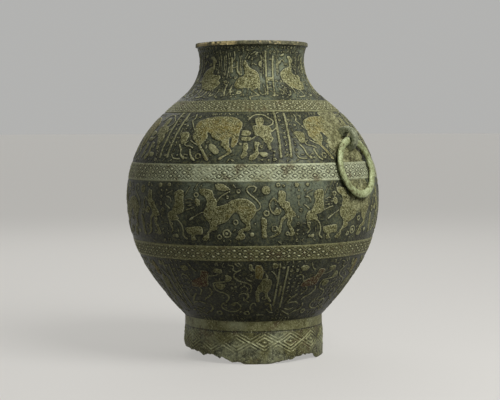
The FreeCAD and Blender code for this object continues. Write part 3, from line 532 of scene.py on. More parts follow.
shoulderFrieze = {
    "top": 272.4, "bottom": 218.6, "dust": (0.35, 0.5), "pale": 0.9, "filler": (5.4, 2.6, 0.35),
    "starts": [-13.6, 47.4, 107, 167, 227, 287],
    "shape": [
        (-0.15, [(5, 14.5), (8, 11), (11, 8.6), (16, 7.6), (22, 7.2), (26, 9), (28.6, 12), (30.4, 16), (30.9, 20),
            (30.2, 25), (29.6, 30), (29.3, 36), (28.8, 42), (27.5, 46.5), (26.3, 47.5), (25.7, 44), (26, 38),
            (25.4, 34.5), (24.6, 39), (24.8, 45), (25.8, 49), (26.4, 52.5), (25.3, 55.2), (23, 58), (21.4, 61),
            (20.2, 60.4), (21.3, 58), (23.2, 55.5), (24.6, 53.2), (24, 50.5), (22.2, 47.2), (20.6, 43.5), (20.9, 40),
            (19, 38.6), (16.8, 37), (15.2, 33.5), (14.2, 30.2), (12.6, 29.4), (12.9, 34), (12.6, 38), (11.2, 41.8),
            (10.6, 44.8), (12, 48.5), (13.6, 53.5), (15.9, 61.2), (14.6, 61.8), (13.2, 57.5), (12, 53), (10.5, 49),
            (9.6, 46), (8, 42), (6, 37.5), (4.6, 33), (4.9, 27), (4.3, 21)]),
        (0.55, [(15.3, 43.5), (17.2, 43.8), (18.9, 47), (20.3, 50.8), (20, 54.2), (18.4, 55), (16.8, 52), (15.2, 48)]),
        (0, [(-3, 30), (-0.6, 28.4), (2, 30), (2.4, 35), (1.6, 41), (-0.4, 43), (-2, 38)]),
        (0, [(38.2, 10), (41.8, 9.5), (42.3, 14), (41.4, 19.6), (38.3, 19.6), (37.8, 14)]),
        (0.05, [(36.5, 21), (42, 20), (45, 22.6), (46.2, 27), (45.2, 30), (45.7, 34), (46.3, 37.4), (45.2, 41),
            (44.5, 44), (45, 49.6), (43.4, 49.2), (43, 44), (42, 41.6), (41, 37.6), (39.5, 34), (37.5, 32.6),
            (36.8, 27)]),
        (0.2, [(31, 27), (34.6, 27.6), (35.6, 30.4), (34, 33.4), (31.4, 33)]),
        (0, [(31, 35.6), (34.6, 35), (35.4, 38), (33, 39.8), (30.8, 38.6)]),
        (0.2, [(31.8, 42.5), (33.6, 42.5), (34, 48), (33.2, 52), (33.9, 55), (32.6, 58), (31.2, 60.4), (30.8, 57),
            (31.6, 52), (31.6, 47)]),
        (0.2, [(37.2, 41), (39.6, 42), (38.7, 46), (38.7, 51), (38.8, 55), (37.6, 59.5), (35.8, 62), (34.5, 60.5),
            (34.8, 57), (36.6, 54.5), (37.3, 51), (37, 46)]),
        (0.6, [(39.4, 53.4), (42.6, 53.4), (42.7, 57), (41, 58.3), (39.8, 56.4)]),
    ],
    "bar": [
        (0.3, 2.3, [(-11.7, -2), (-12, 58.6)]), (0.4, 2.3, [(-5.6, 3), (-6.4, 30), (-7.1, 58.6)]),
    ],
    "line": [
        (0.5, 1, [(4.4, 39), (6.6, 42), (9.6, 45)]), (0.5, 0.9, [(5, 34), (6, 37.6), (8.8, 41)]),
        (0.5, 1.2, [(12.9, 33), (12.6, 37.6), (11.2, 41.6), (10.5, 45)]),
        (0.45, 1.1, [(9.8, 45.4), (12, 49.4), (13.6, 54.6), (15.7, 61.4)]),
        (0.6, 1.1, [(25.2, 49.6), (26.2, 52.8), (24, 56), (21, 60.6)]),
        (0.4, 0.9, [(24.9, 35), (24.4, 40), (24.9, 45)]), (0.35, 1.9, [(5.4, 50), (6.2, 55), (7.2, 59), (8.8, 62)]),
        (0.3, 1.1, [(3.2, 40), (1.6, 43), (2.6, 45.2), (5, 46), (7, 48.4)]),
        (0.2, 1.7, [(-1.5, 44.6), (0.2, 50), (1, 56), (3, 60.2)]),
        (0.3, 1, [(4.8, 59.6), (3, 58.6), (3.2, 55.6), (4.8, 56)]), (0.3, 0.9, [(-4, 23), (-3.6, 30), (-2.4, 34.2)]),
        (0.2, 1.1, [(0, 13), (2.6, 20.4), (4.6, 26)]), (0.1, 1.3, [(0.6, 4), (1.4, 9), (0.4, 13)]),
        (0.15, 1.2, [(-4.6, 55), (-3, 59.6), (0.6, 60.6)]),
        (0.45, 1.3, [(34.7, 10.4), (36.4, 6.6), (39, 4.4), (42.4, 5), (44.6, 8.6), (46.8, 12), (47.5, 15.2),
            (46.6, 19), (44.4, 21.4), (42, 22)]),
        (0.4, 1.1, [(33.3, 7.4), (34.5, 9.6), (33.9, 13.2)]), (0.9, 1.6, [(44.2, 33), (44.2, 37.6)]),
        (0.45, 1.3, [(46, 28.5), (48.3, 24)]), (0.4, 1.1, [(34.9, 39.2), (37.5, 34.4)]),
    ],
    "ring": [
        ((0.2, 1.3), 2.7, [(10.4, 57.3)]),
    ],
    "disc": [
        (0.2, 1.4, [(-1.4, 20)]), (0.1, 1.6, [(4.2, 7.6)]), (1, 1, [(31, 31.8)]), (0.5, 1.4, [(30.2, 43)]),
    ],
    "cuts": {0.6: [
        [(13.6, 10), (18, 14.6)], [(16.4, 9.4), (22, 15)], [(19.6, 9.2), (25, 14.8)], [(23, 9.8), (27.6, 15.6)],
        [(12.4, 15), (17.6, 20)], [(16.6, 16), (22.4, 21)], [(20.6, 17), (27, 22.4)], [(10.6, 20), (16, 25)],
        [(15, 21.4), (20.6, 27)], [(19.4, 23), (25, 28)], [(16, 27), (20, 33)], [(22, 27.6), (27, 32.6)],
        [(26, 17.6), (29, 23)], [(7, 22), (9.6, 28), (9.2, 34)], [(8.6, 20), (11, 26), (11.4, 33)],
        [(6.2, 28), (7.2, 35), (9.4, 39.6)], [(21.6, 31), (23.4, 32.4), (22.8, 38)],
        [(27, 31), (27.8, 38), (26.8, 44)], [(38, 22.6), (41, 24), (40, 30)], [(38.8, 12), (39.6, 18)],
    ]},
}
bellyFrieze = {
    "top": 199.8, "bottom": 133.5, "dust": (1.15, 0.35), "pale": 0.9, "filler": (6.6, 3.0, 0.6),
    "starts": [-13, 50, 110, 170, 230, 290],
    "shape": [
        (0, [(20, 25), (22.5, 24.3), (25, 22.3), (27, 19), (29, 17.6), (31, 17), (33.2, 17.4), (35, 19.8), (36.6, 23),
            (37.4, 27), (37.3, 31), (36.4, 35.2), (35, 39.2), (34.8, 44), (35.1, 48), (34, 50.4), (32.6, 51),
            (31.6, 52.4), (32.4, 54.4), (32.6, 57), (31.4, 60.2), (29, 60.2), (28.6, 57.5), (29.5, 55), (29.7, 51.8),
            (31, 48.8), (32.7, 46.6), (33.1, 43.8), (32, 41.6), (31, 38.8), (30.5, 35), (29.8, 32.2), (28.5, 31.2),
            (27.3, 33.6), (26, 37.6), (25, 40.2), (23.8, 42), (22, 43.6), (20.6, 44.6), (20.8, 48), (19.5, 50.2),
            (18, 51.2), (16.7, 54), (16.8, 56.6), (16.3, 59.2), (15.1, 61.8), (13.4, 60.4), (14.1, 57.2), (15.5, 55.4),
            (15.8, 52.8), (17, 50), (17.4, 46), (17.3, 42.2), (16.2, 39.6), (15, 35.6), (14.9, 30), (16.2, 26.4)]),
        (0.1, [(13, 8), (15, 6.8), (18, 8), (19.1, 11), (19.5, 15), (20.6, 19), (20.6, 24.4), (18, 26.4), (16, 25.4),
            (16.4, 20), (15.6, 15.6), (13.4, 12)]),
        (0.3, [(20, 2.4), (23, 1.8), (25, 4.6), (26.4, 8), (24, 8.8), (21, 7.6)]),
        (0.15, [(11.2, 17), (12.8, 18.4), (13.2, 23), (11.8, 25), (10.8, 21)]),
        (0.15, [(0.9, 11), (3, 8.4), (5.1, 9.4), (5.5, 14), (5.2, 20), (5.6, 25), (5.1, 30), (3.2, 33.2), (1.6, 35),
            (2.6, 38.4), (1.2, 40), (-1, 41), (-3, 39.8), (-3.4, 36), (-2.8, 32.4), (-0.8, 29.6), (0.2, 25), (1, 20),
            (0.4, 15)]),
        (0.1, [(5.8, 48.2), (10, 47), (13.5, 46.8), (13.7, 54.4), (11.2, 55), (10, 56), (9.8, 58.2), (10.6, 60.8),
            (8.2, 61.6), (7.9, 58.4), (8.1, 55.4), (6.4, 53.6)]),
        (0.05, [(39.7, 37), (41.4, 38), (42, 44), (41.6, 50), (42.1, 57.6), (40, 58), (39.8, 51), (39.6, 44)]),
        (0.15, [(47.4, 9), (49, 9.4), (50, 12), (49.9, 16), (49.8, 20), (51.4, 21), (52, 25), (53, 29), (54.4, 33),
            (54.7, 35.4), (53, 37), (53, 40), (52.1, 43.6), (53, 47), (54, 51), (54.3, 55.2), (53, 57.2), (51.7, 55.6),
            (52.4, 53), (52, 50), (51.2, 46.4), (50.6, 43), (51, 39), (50.5, 37), (49.5, 39), (48.6, 42), (48.3, 46),
            (48.1, 50), (47.7, 54), (46.2, 56.2), (44, 58.2), (43.5, 57), (45.3, 55), (46.6, 52), (46.8, 48),
            (47.4, 44), (47.7, 41), (48.1, 38), (49.2, 35.4), (49.9, 32), (48.9, 28), (47.6, 25.4), (46.8, 21),
            (46.8, 16), (46.7, 12)]),
        (0.2, [(46, 27.4), (47.8, 28), (47.9, 31), (46.5, 34.2), (45.2, 32.6), (45, 29.6)]),
    ],
    "line": [
        (0.25, 1.1, [(20.6, 21), (22, 16.4), (24, 12.6), (26.4, 9.8)]), (0.3, 1, [(12.2, 1.6), (10.6, 7.6)]),
        (0.2, 1, [(14, 2.4), (13, 6.6)]), (0.9, 1.7, [(8.1, 39.4), (9.4, 37.4)]),
        (0.5, 0.9, [(8.8, 38.2), (11.8, 34), (14.4, 31)]), (0.4, 1, [(3.2, 33.4), (6.4, 29.4), (10.6, 26.4)]),
        (0.55, 1.6, [(0.8, 38.6), (2.9, 42), (4, 46.4), (4.3, 51.6), (4, 56.6), (5.6, 60)]),
        (0.2, 1.6, [(-2.6, 41), (-2.2, 46), (-1.2, 50), (-2.2, 54)]),
        (0.5, 1.1, [(-3.8, 15.6), (-2.2, 16.2), (-1.3, 19), (-1.3, 21.4)]),
        (0.6, 1.2, [(-4.4, 23.8), (-3, 26.4), (-2.2, 28.2)]), (0.3, 0.9, [(-3.4, 12.6), (-0.4, 9)]),
        (0.3, 1, [(6.2, 13), (8.2, 5.4)]), (0.2, 0.8, [(6.4, 22), (10.2, 21.4)]), (0.2, 0.8, [(6.4, 25), (10, 24.2)]),
        (0.2, 0.8, [(6.4, 19), (8.6, 17.4), (10.2, 19)]),
        (0.55, 1.2, [(33.5, 9.2), (33.7, 6.2), (35, 4.3), (36.7, 4.5), (37.4, 7), (36.5, 10.2)]),
        (0.5, 1.3, [(33.5, 9), (34.6, 12.2), (36, 15), (37.8, 19), (39, 23), (39.2, 26.4), (38.2, 28.8),
            (36.6, 30.2)]),
        (0.6, 1.3, [(48, 38.6), (49.4, 36), (50.4, 33.6)]),
        (-0.2, 1.2, [(44.8, 17), (43.6, 19.2), (43, 23), (43.2, 27), (44, 31), (45.2, 33.6)]),
        (0.1, 0.7, [(45, 17.4), (45.6, 22), (45.7, 28), (45.2, 33)]),
        (0.3, 1.1, [(46.8, 21.6), (45.9, 19), (44.9, 16.8)]),
    ],
    "ring": [
        ((0.25, 1), 1.5, [(-6, 29.5)]), ((0.35, 1.1), 1.6, [(-1.8, 44.4)]), ((0.45, 1.2), 2.2, [(11.5, 13.4)]),
        ((0.4, 1), 1.7, [(30.1, 9.5)]), ((0.3, 1.4), 2.5, [(41.7, 32.4)]), ((0.15, 1.3), 2.3, [(28.7, 41.5)]),
        ((0.45, 1.5), 3.9, [(24.7, 53.6)]), ((0.35, 1.4), 1.9, [(21.4, 57.3)]), ((0.4, 1.2), 1.6, [(46.8, 3.1)]),
        ((0.15, 1.2), 2.7, [(45.2, 48.6)]), ((0.45, 1.2), 1.6, [(51, 54)]),
    ],
    "disc": [
        (0.35, 2.4, [(-7.8, 3.4)]), (0.35, 2, [(-2.6, 3.2)]), (0.8, 2.1, [(0.5, 57.2)]), (0.3, 1.6, [(-1.2, 57.4)]),
        (0.1, 4.4, [(41.6, 8.5)]), (0.95, 1.6, [(24.7, 53.6)]), (0.5, 1.7, [(30.2, 57.2)]), (1, 2.2, [(35.6, 54.6)]),
        (0.5, 0.9, [(37, 43)]), (0.5, 0.9, [(41, 52.4)]), (0, 1.4, [(49.2, 4.2)]),
    ],
    "cuts": {0.5: [
        [(41.6, 5.6), (43, 6.6), (43, 9.4), (41.6, 11), (40.2, 9.8), (40.2, 6.8), (41.6, 5.6)],
    ], 0.6: [
        [(21, 28), (23.4, 27), (24.4, 30), (22.4, 32), (20.8, 30.4)], [(25, 28.4), (27.4, 25.4), (27.2, 30)],
        [(17, 30), (19, 28.6), (19.6, 32), (17.8, 34)], [(18, 37), (20.6, 35), (21.8, 38), (19.8, 41)],
        [(22.2, 36), (24, 35.4), (24.2, 39), (22.4, 40.4)], [(29, 20), (31.8, 22), (30.4, 26)],
        [(32.4, 19.6), (34.8, 23), (33.4, 27), (31.4, 29)], [(35.6, 25), (36.4, 29), (34.8, 33), (32.4, 35)],
        [(16, 10), (17.8, 13), (17.2, 18), (18.8, 22)], [(2, 12), (4.4, 14)], [(1.6, 17), (4.4, 18.6)],
        [(1.6, 22), (4.6, 23.4)], [(0.8, 27), (4.2, 28)], [(-1, 33), (1.2, 35), (0, 38)],
        [(50, 24), (51.4, 28), (52, 32)],
    ]},
}
lowerFrieze = {
    # Less dust and less pale figures than the friezes above: partly real, partly painted shade towards the bottom.
    "top": 116.8, "bottom": 46.6, "dust": (0.1, 0.0), "pale": 0.55, "filler": (5.2, 2.4, 0.55),
    "starts": [-16, 47, 107, 167, 227, 287],
    "shape": [
        (0.5, [(22, 17), (24, 17.6), (24.9, 21), (24.5, 24), (22.5, 25.8), (21.2, 24), (21.8, 20)]),
        (-0.05, [(15.8, 29), (20, 29.4), (20.4, 33.6), (18, 37), (15.8, 34.6)]),
        (0.1, [(16, 10.6), (18.4, 9), (20.6, 11), (19, 14), (16.4, 13.6)]),
        (-0.5, [(37.3, 5), (39.5, 5), (40.6, 9), (41, 15), (40.3, 22), (38.8, 22.2), (37.4, 21), (36.9, 14)]),
        (0, [(41, 22), (44, 22), (45.3, 26), (45.6, 32), (45, 38), (44.1, 41), (44.4, 46), (45.7, 50), (46.9, 54),
            (45.8, 55), (44, 50), (42.8, 46), (42.4, 42), (40.6, 40), (39.2, 44), (39.4, 50), (39.6, 54), (38, 55),
            (37.5, 50), (37.3, 44), (37.6, 38), (38.5, 32), (40, 27)]),
        (0.35, [(45.4, 3), (47.6, 3.4), (47.8, 8), (45.6, 8.4)]),
        (0.35, [(34.2, 4), (35.4, 3.4), (35.8, 8), (37, 11), (35, 11.8), (34, 9)]),
        (-1, [(9.5, 12), (12.5, 12.5), (13.3, 15), (12.4, 19), (11.8, 24), (11.3, 30), (10.4, 33), (7, 34.2), (3, 35),
            (0.3, 34), (0.8, 30), (2.5, 26), (5.5, 23), (8, 20), (8.8, 15)]),
        (0, [(-2.4, 8), (0.4, 6.4), (2.2, 9), (1, 13), (-1.6, 12.6)]),
    ],
    "plate": [
        (0, [(-12.4, 32), (-11.2, 32), (-11.2, 47), (-12.4, 47)]),
    ],
    "bar": [
        (0.4, 1.9, [(-14, 3), (-14.2, 60)]), (0.4, 1.9, [(-9.7, 7), (-9.9, 30), (-9.2, 64)]),
    ],
    "line": [
        (0.45, 1.5, [(22.4, 25), (20, 26.2), (17, 27.1), (15, 27.8), (14.2, 30.4), (14.2, 34), (15, 38), (17, 40.6),
            (19.5, 42.4), (21, 45), (21.4, 48), (20.8, 51), (19.5, 54), (18.8, 56.4)]),
        (0.4, 1.6, [(17.2, 56.6), (15.3, 60), (15, 63.5), (16.5, 67), (19, 69.4), (22, 70.1), (25, 68.4), (27.2, 65.2),
            (27.8, 61.5), (27, 58), (25.5, 56), (24.2, 56.6)]),
        (0.3, 1.1, [(12.2, 20.6), (13, 19), (15.6, 18.2), (18.4, 15.8), (20.6, 13.2)]),
        (0.5, 1.5, [(29.8, 10.4), (28.2, 12.5), (26.8, 15), (26.2, 18), (26.6, 21), (28, 24), (30, 26), (32.5, 27.6),
            (34.2, 30), (34.9, 33.5), (34.8, 37), (34.2, 40.8)]),
        (0.45, 1.4, [(32.2, 20), (33.2, 23), (35.2, 25)]),
        (0.3, 1.1, [(33.2, 17.2), (34.4, 15.6), (35.6, 17.2), (34.6, 19)]),
        (0.35, 1.3, [(31, 32), (32.8, 35), (32.4, 40), (33.2, 46), (32, 50), (31.4, 52.6), (33.2, 55.2)]),
        (0.3, 1.2, [(27.6, 47), (28.2, 43.6), (30.4, 42), (32.2, 44), (32.6, 47)]),
        (0.2, 1.4, [(30.4, 48), (30.1, 53)]), (0.1, 1.2, [(24, 4), (26.6, 6), (26, 10), (28, 13)]),
        (0.15, 1.3, [(27.4, 3), (28.8, 6)]), (0.9, 1.7, [(42.9, 18.4), (43.2, 20.4)]),
        (0.15, 1.4, [(34, 66), (34, 61), (35.5, 57), (37, 57.2), (37.6, 60.4)]),
        (-0.2, 1.5, [(43.4, 58.6), (45.4, 57.4), (47, 61), (47.5, 65), (48.4, 68)]), (0.15, 1, [(38, 75), (43, 75)]),
        (0.15, 1.1, [(44.4, 66), (46.6, 70.6), (49.2, 72)]), (0.2, 1, [(45, 12), (47, 17), (48, 22)]),
        (0.15, 0.9, [(41.4, 12), (42.4, 17)]), (0.2, 1.1, [(45.2, 24), (45.6, 30)]),
        (0.25, 1.8, [(11.2, 35.6), (11.8, 40), (10.6, 45), (8.5, 48), (6.4, 50.4), (5, 53.4)]),
        (0.15, 1.7, [(4.6, 35), (5.6, 39), (4.2, 43), (3, 46)]), (0.1, 2, [(0, 45), (-3, 51), (-5, 56)]),
        (0.45, 1.9, [(7.5, 60), (8.1, 64), (7, 68), (4.4, 71.4)]), (0.15, 1.6, [(3.8, 71), (1, 74.4)]),
        (0.2, 1.4, [(-6, 59.6), (-2, 57.2), (1.2, 57), (3.6, 59.4)]),
        (0.25, 1.5, [(-5.2, 66.4), (-2, 68.2), (0.6, 66)]), (0.2, 1.5, [(-4, 20), (-2, 18), (0, 20), (0.5, 24)]),
        (0.25, 1.2, [(3.2, 3.6), (4.4, 9), (6, 12.4)]), (0.2, 1.4, [(-6.4, 70), (-3, 74), (0, 76.4)]),
    ],
    "ring": [
        ((0.5, 1.6), 2.6, [(31.3, 71.8)]), ((0.4, 1.6), 2.6, [(11.6, 72.6)]), ((0.2, 0.9), 2, [(42.4, 49)]),
    ],
    "disc": [
        (0.6, 1.6, [(-12, 8.6)]), (0.45, 2.3, [(23.3, 58.6)]), (0.5, 1.4, [(26.4, 33)]), (0.6, 0.9, [(37, 20.4)]),
        (0.3, 1.4, [(6.3, 12.6)]), (0.5, 1, [(1.2, 26.2)]),
    ],
    "cuts": {0.6: [
        [(10, 15), (11, 21), (9.4, 28)], [(7.6, 24), (6, 29), (3, 32)], [(42, 25), (43.6, 30), (42.4, 36)],
        [(39, 32), (40.6, 36)], [(38.4, 8), (39.4, 14), (38.6, 19)],
    ]},
}

# What the four friezes share.
friezeStyle = {
    "cell": 0.85, "relief": 0.6, "groove": 0.22, "skin": 0.20,  # spacing of the places, and three heights
    "flank": 0.7, "grooveFlank": 0.3,  # how far the relief and a groove slope to either side of an edge
    "wearGrain": 9.0, "crustGrain": 11.0, "dustGrain": 19.0, "skinGrain": 2.4,
}
# Crust near the lugs: where it faces, its height, how far it reaches round and up, and how thick it gets at most.
lugPatches = [{"facing": facing, "height": height, "turn": turn, "reach": reach, "most": most}
              for facing in (90, 270)
              for height, turn, reach, most in ((240.0, 13.0, 42.0, 1.0), (184.0, 9.0, 20.0, 0.60))]


def paintedLitSide(turn):
    # Painted light: the share of the pale dust at a turn, all of it round the lit side and fading with the cosine to a
    # third elsewhere, so that the lit side is painted lighter.
    return 0.35 + 0.65 * smoothStep(np.cos(np.radians(turn - vase["paintedLightTurn"])), 0.25, 0.85)


def makeFrieze(name, frieze):
    # The wall between two bands. A place lies on the plain wall and is lifted along its normal by the relief times a
    # smooth step of the distance inside the nearest figure, less a shallow groove along the incised lines. The first
    # panel is drawn once, and each panel round the wall is a copy of it, stretched to its own width. Crust grows in
    # an oval round each lug and hides the figures there.
    slant, radius, height, outR, outZ = wallLine(frieze["top"], frieze["bottom"], friezeStyle["cell"])
    first, second = frieze["starts"][:2]
    width = second - first
    turns = turnsRound(radius.mean(), friezeStyle["cell"])[0]
    drawn = int(round(len(turns) * width / 360))
    turn, down = np.meshgrid(first + width * np.arange(drawn) / drawn, slant)
    perDegree = np.radians(1) * radius
    figure, tone, incised = drawPanel(frieze, turn, down, perDegree, width)
    figure, tone = fillGround(figure, tone, turn, down, perDegree, frieze["filler"])

    turn = first + turns
    starts = np.array(frieze["starts"] + [first + 360], float)
    part = np.interp(turn, starts, np.arange(len(starts))) % 1 * drawn
    left = np.floor(part).astype(int) % drawn
    right = (left + 1) % drawn
    blend = part - np.floor(part)
    figure, tone, incised = (facts[:, left] * (1 - blend) + facts[:, right] * blend
                             for facts in (figure, tone, incised))
    tone = np.where(tone > 0, tone * frieze["pale"], tone)

    plain = ringGrid(turn, radius, height)
    crust = np.zeros(figure.shape)
    for patch in lugPatches:
        away = np.hypot(turnAway(turn, patch["facing"]) / patch["turn"], (height - patch["height"]) / patch["reach"])
        grown = np.clip(1.5 - away + 0.7 * (mottle(plain, friezeStyle["crustGrain"], 4) - 0.5), 0, patch["most"])
        crust = np.maximum(crust, grown)
    figure = np.where(crust > 0.75, np.minimum(figure, 8.0 - 10.0 * crust), figure)  # thick crust hides figures
    # The pale dust runs from its top to its bottom amount, in patches, and is heaviest on the lit side: partly dust,
    # partly painted light.
    lightAndDustTop, lightAndDustBottom = frieze["dust"]
    dust = lightAndDustTop + (lightAndDustBottom - lightAndDustTop) * slant / slant[-1]
    dust = dust * (0.25 + 0.75 * smoothStep(mottle(plain, friezeStyle["dustGrain"], 6), 0.3, 0.62)) * paintedLitSide(turn)

    flank, grooveFlank = friezeStyle["flank"], friezeStyle["grooveFlank"]
    wear = mottle(plain, friezeStyle["wearGrain"], 3)
    lift = friezeStyle["relief"] * smoothStep(figure, -flank, flank) * (0.6 + 0.4 * wear)
    lift -= friezeStyle["groove"] * smoothStep(-incised, -grooveFlank, grooveFlank)
    skin = friezeStyle["skin"] * (mottle(plain, friezeStyle["skinGrain"], 5) - 0.5)
    lift = np.minimum(lift + skin, friezeStyle["relief"] - 0.02) * smoothStep(slant, 0, 1.0)
    makeSurface(name, ringGrid(turn, radius + lift * outR, height + lift * outZ), friezeBronze,
                {"figure": figure, "tone": tone, "incised": incised, "dust": dust, "crust": crust})


makeFrieze("neckFrieze", neckFrieze)
makeFrieze("shoulderFrieze", shoulderFrieze)
makeFrieze("bellyFrieze", bellyFrieze)
makeFrieze("lowerFrieze", lowerFrieze)

# Interlaced bands: where each lies, how many lozenges it has, their height, its border and the pale dust on it,
# which is also painted light, on the middle band a painted sheen.
bands = {
    "upperBand": {"top": 285.0, "bottom": 272.8, "lozenges": 60, "lozenge": 5.4, "border": 1.4, "dust": 0.15},
    "middleBand": {"top": 218.6, "bottom": 199.8, "lozenges": 76, "lozenge": 7.8, "border": 2.0, "dust": 0.95},
    "lowerBand": {"top": 133.5, "bottom": 116.8, "lozenges": 72, "lozenge": 6.9, "border": 2.2, "dust": 0.0},
}
bandStyle = {
    "cell": 0.62, "proud": 0.75, "depth": 0.65, "skin": 0.16,  # spacing of the places, and three heights
    "worn": 0.45, "flat": 0.5,  # how far wear levels the relief, and the level it wears to and the border has
    "tucked": -0.3,  # height of the two edges, under the friezes beside
    "bead": 0.48, "beadFlank": 0.22,  # in shares of a lozenge, as are the next three
    "strand": 0.85, "strandHalf": 0.15, "strandFlank": 0.10, "strandHeight": 0.6,
}


def interlace(along, across):
    # Relief of the interlace from 0 to 1 at a place in lozenge counts: pairs of strands cross between lozenges one
    # unit wide and high, every other row shifted by half a unit, and each lozenge holds a bead over a pit.
    first, second = along + across, along - across
    far = 2 * np.maximum(np.abs(first % 1 - 0.5), np.abs(second % 1 - 0.5))
    bead = smoothStep(bandStyle["bead"] - far, 0, bandStyle["beadFlank"])
    strand = smoothStep(bandStyle["strandHalf"] - np.abs(far - bandStyle["strand"]), 0, bandStyle["strandFlank"])
    return np.maximum(bead, strand * bandStyle["strandHeight"])


def makeBand(name, band):
    # A band stands proud of the wall, with a plain border above and below its lozenges.
    slant, radius, height, outR, outZ = wallLine(band["top"], band["bottom"], bandStyle["cell"])
    turn = turnsRound(radius.mean(), bandStyle["cell"])
    middle = slant - slant[-1] / 2
    plain = ringGrid(turn, radius, height)
    relief = interlace(turn * band["lozenges"] / 360, middle / band["lozenge"] + 0.5)
    inPattern = smoothStep(slant[-1] / 2 - band["border"] - np.abs(middle), -0.3, 0.5)
    worn = smoothStep(mottle(plain, 13.0, 11), 0.55, 0.8) * bandStyle["worn"]
    relief = relief * (1 - worn) + bandStyle["flat"] * worn
    relief = inPattern * relief + (1 - inPattern) * bandStyle["flat"]
    lift = bandStyle["proud"] - bandStyle["depth"] * (1 - relief) - bandStyle["skin"] * mottle(plain, 1.8, 7)
    lift[[0, -1]] = bandStyle["tucked"]
    # Pale dust, heaviest on the lit side: partly dust, partly painted light.
    dust = band["dust"] * smoothStep(mottle(plain, 21.0, 12), 0.05, 0.6) * paintedLitSide(turn)
    makeSurface(name, ringGrid(turn, radius + lift * outR, height + lift * outZ), bandBronze,
                {"rise": relief, "dust": dust})


for name, band in bands.items():
    makeBand(name, band)

# Foot: an open ring with nested lozenges, whose margin is broken away in front and beside. A break lists the height
# that is lost at each turn.
foot = {
    "frontBreak": [(-86, 0), (-80, 3.6), (-72, 8.0), (-63, 10.4), (-55, 11.2), (-47, 11.5), (-40, 11.0), (-33, 10.9),
                   (-27, 10.2), (-22, 10.8), (-15, 10.0), (-9, 7.7), (-4, 8.8), (1, 8.4), (7, 5.5), (9, 7.2),
                   (14, 4.0), (18, 2.2), (23, 3.0), (29, 0)],
    "sideBreak": [(49, 0), (54, 1.4), (58, 1.7), (62, 2.6), (67, 3.3), (71, 4.6), (75, 5.8), (80, 7.0), (86, 7.3),
                  (92, 6.8), (96, 4.4), (99, 0.6), (101, 0)],
    "wall": 3.8, "roof": 43.0, "cell": 0.8,
    "lineHeight": 35.4, "lineHalf": 0.8, "lineDepth": 0.5,
    "lozenges": 16, "lozengeTurn": 44.5, "lozengeHeight": 18.0, "lozengeCentre": 23.4,
    "ridges": [(0.96, 0.12, 1.0), (0.565, 0.12, 1.0), (1.36, 0.10, 0.7)],  # place, half width and height of each
    "bead": 0.20, "beadFlank": 0.12,  # in the middle, in shares of a lozenge, as are the ridges
    "patternHeight": 0.95, "worn": 0.7, "sunk": 0.65,  # sunk is how far all of it lies under the plain wall
    "roughness": 0.22, "lowRoughness": 0.45,  # everywhere, and added near the broken margin
}


def footEdge(turn):
    # Height of the foot's margin at a turn: the lost height of either break, straight between its places.
    lost = np.zeros(turn.shape)
    for places, facing in ((foot["frontBreak"], 0), (foot["sideBreak"], 90)):
        known = np.array(places, float)
        side = np.sin(np.radians(turnAway(turn, facing)))
        across = np.sin(np.radians(known[:, 0] - facing))
        there = np.interp(side, across, known[:, 1], 0, 0)
        lost = np.maximum(lost, np.where(np.abs(turnAway(turn, facing)) < 90, there, 0))
    return lost


def footPattern(turn, height):
    # Nested lozenges round the foot, from 0 to 1: far is 0 in a lozenge's middle and 1 on its edge, and each ridge
    # is a smooth step of the distance to its own far. A bead stands in the middle.
    along = (turn - foot["lozengeTurn"]) * foot["lozenges"] / 360
    across = (height - foot["lozengeCentre"]) / foot["lozengeHeight"]
    far = 2 * (np.abs((along + 0.5) % 1 - 0.5) + np.abs(across))
    pattern = smoothStep(foot["bead"] - far, 0, foot["beadFlank"])
    for place, half, high in foot["ridges"]:
        pattern = np.maximum(pattern, high * smoothStep(half - np.abs(far - place), 0, half * 0.8))
    return pattern * smoothStep(foot["lineHeight"] - 1.4 - height, 0, 0.8) * smoothStep(height, 10.5, 13.5)


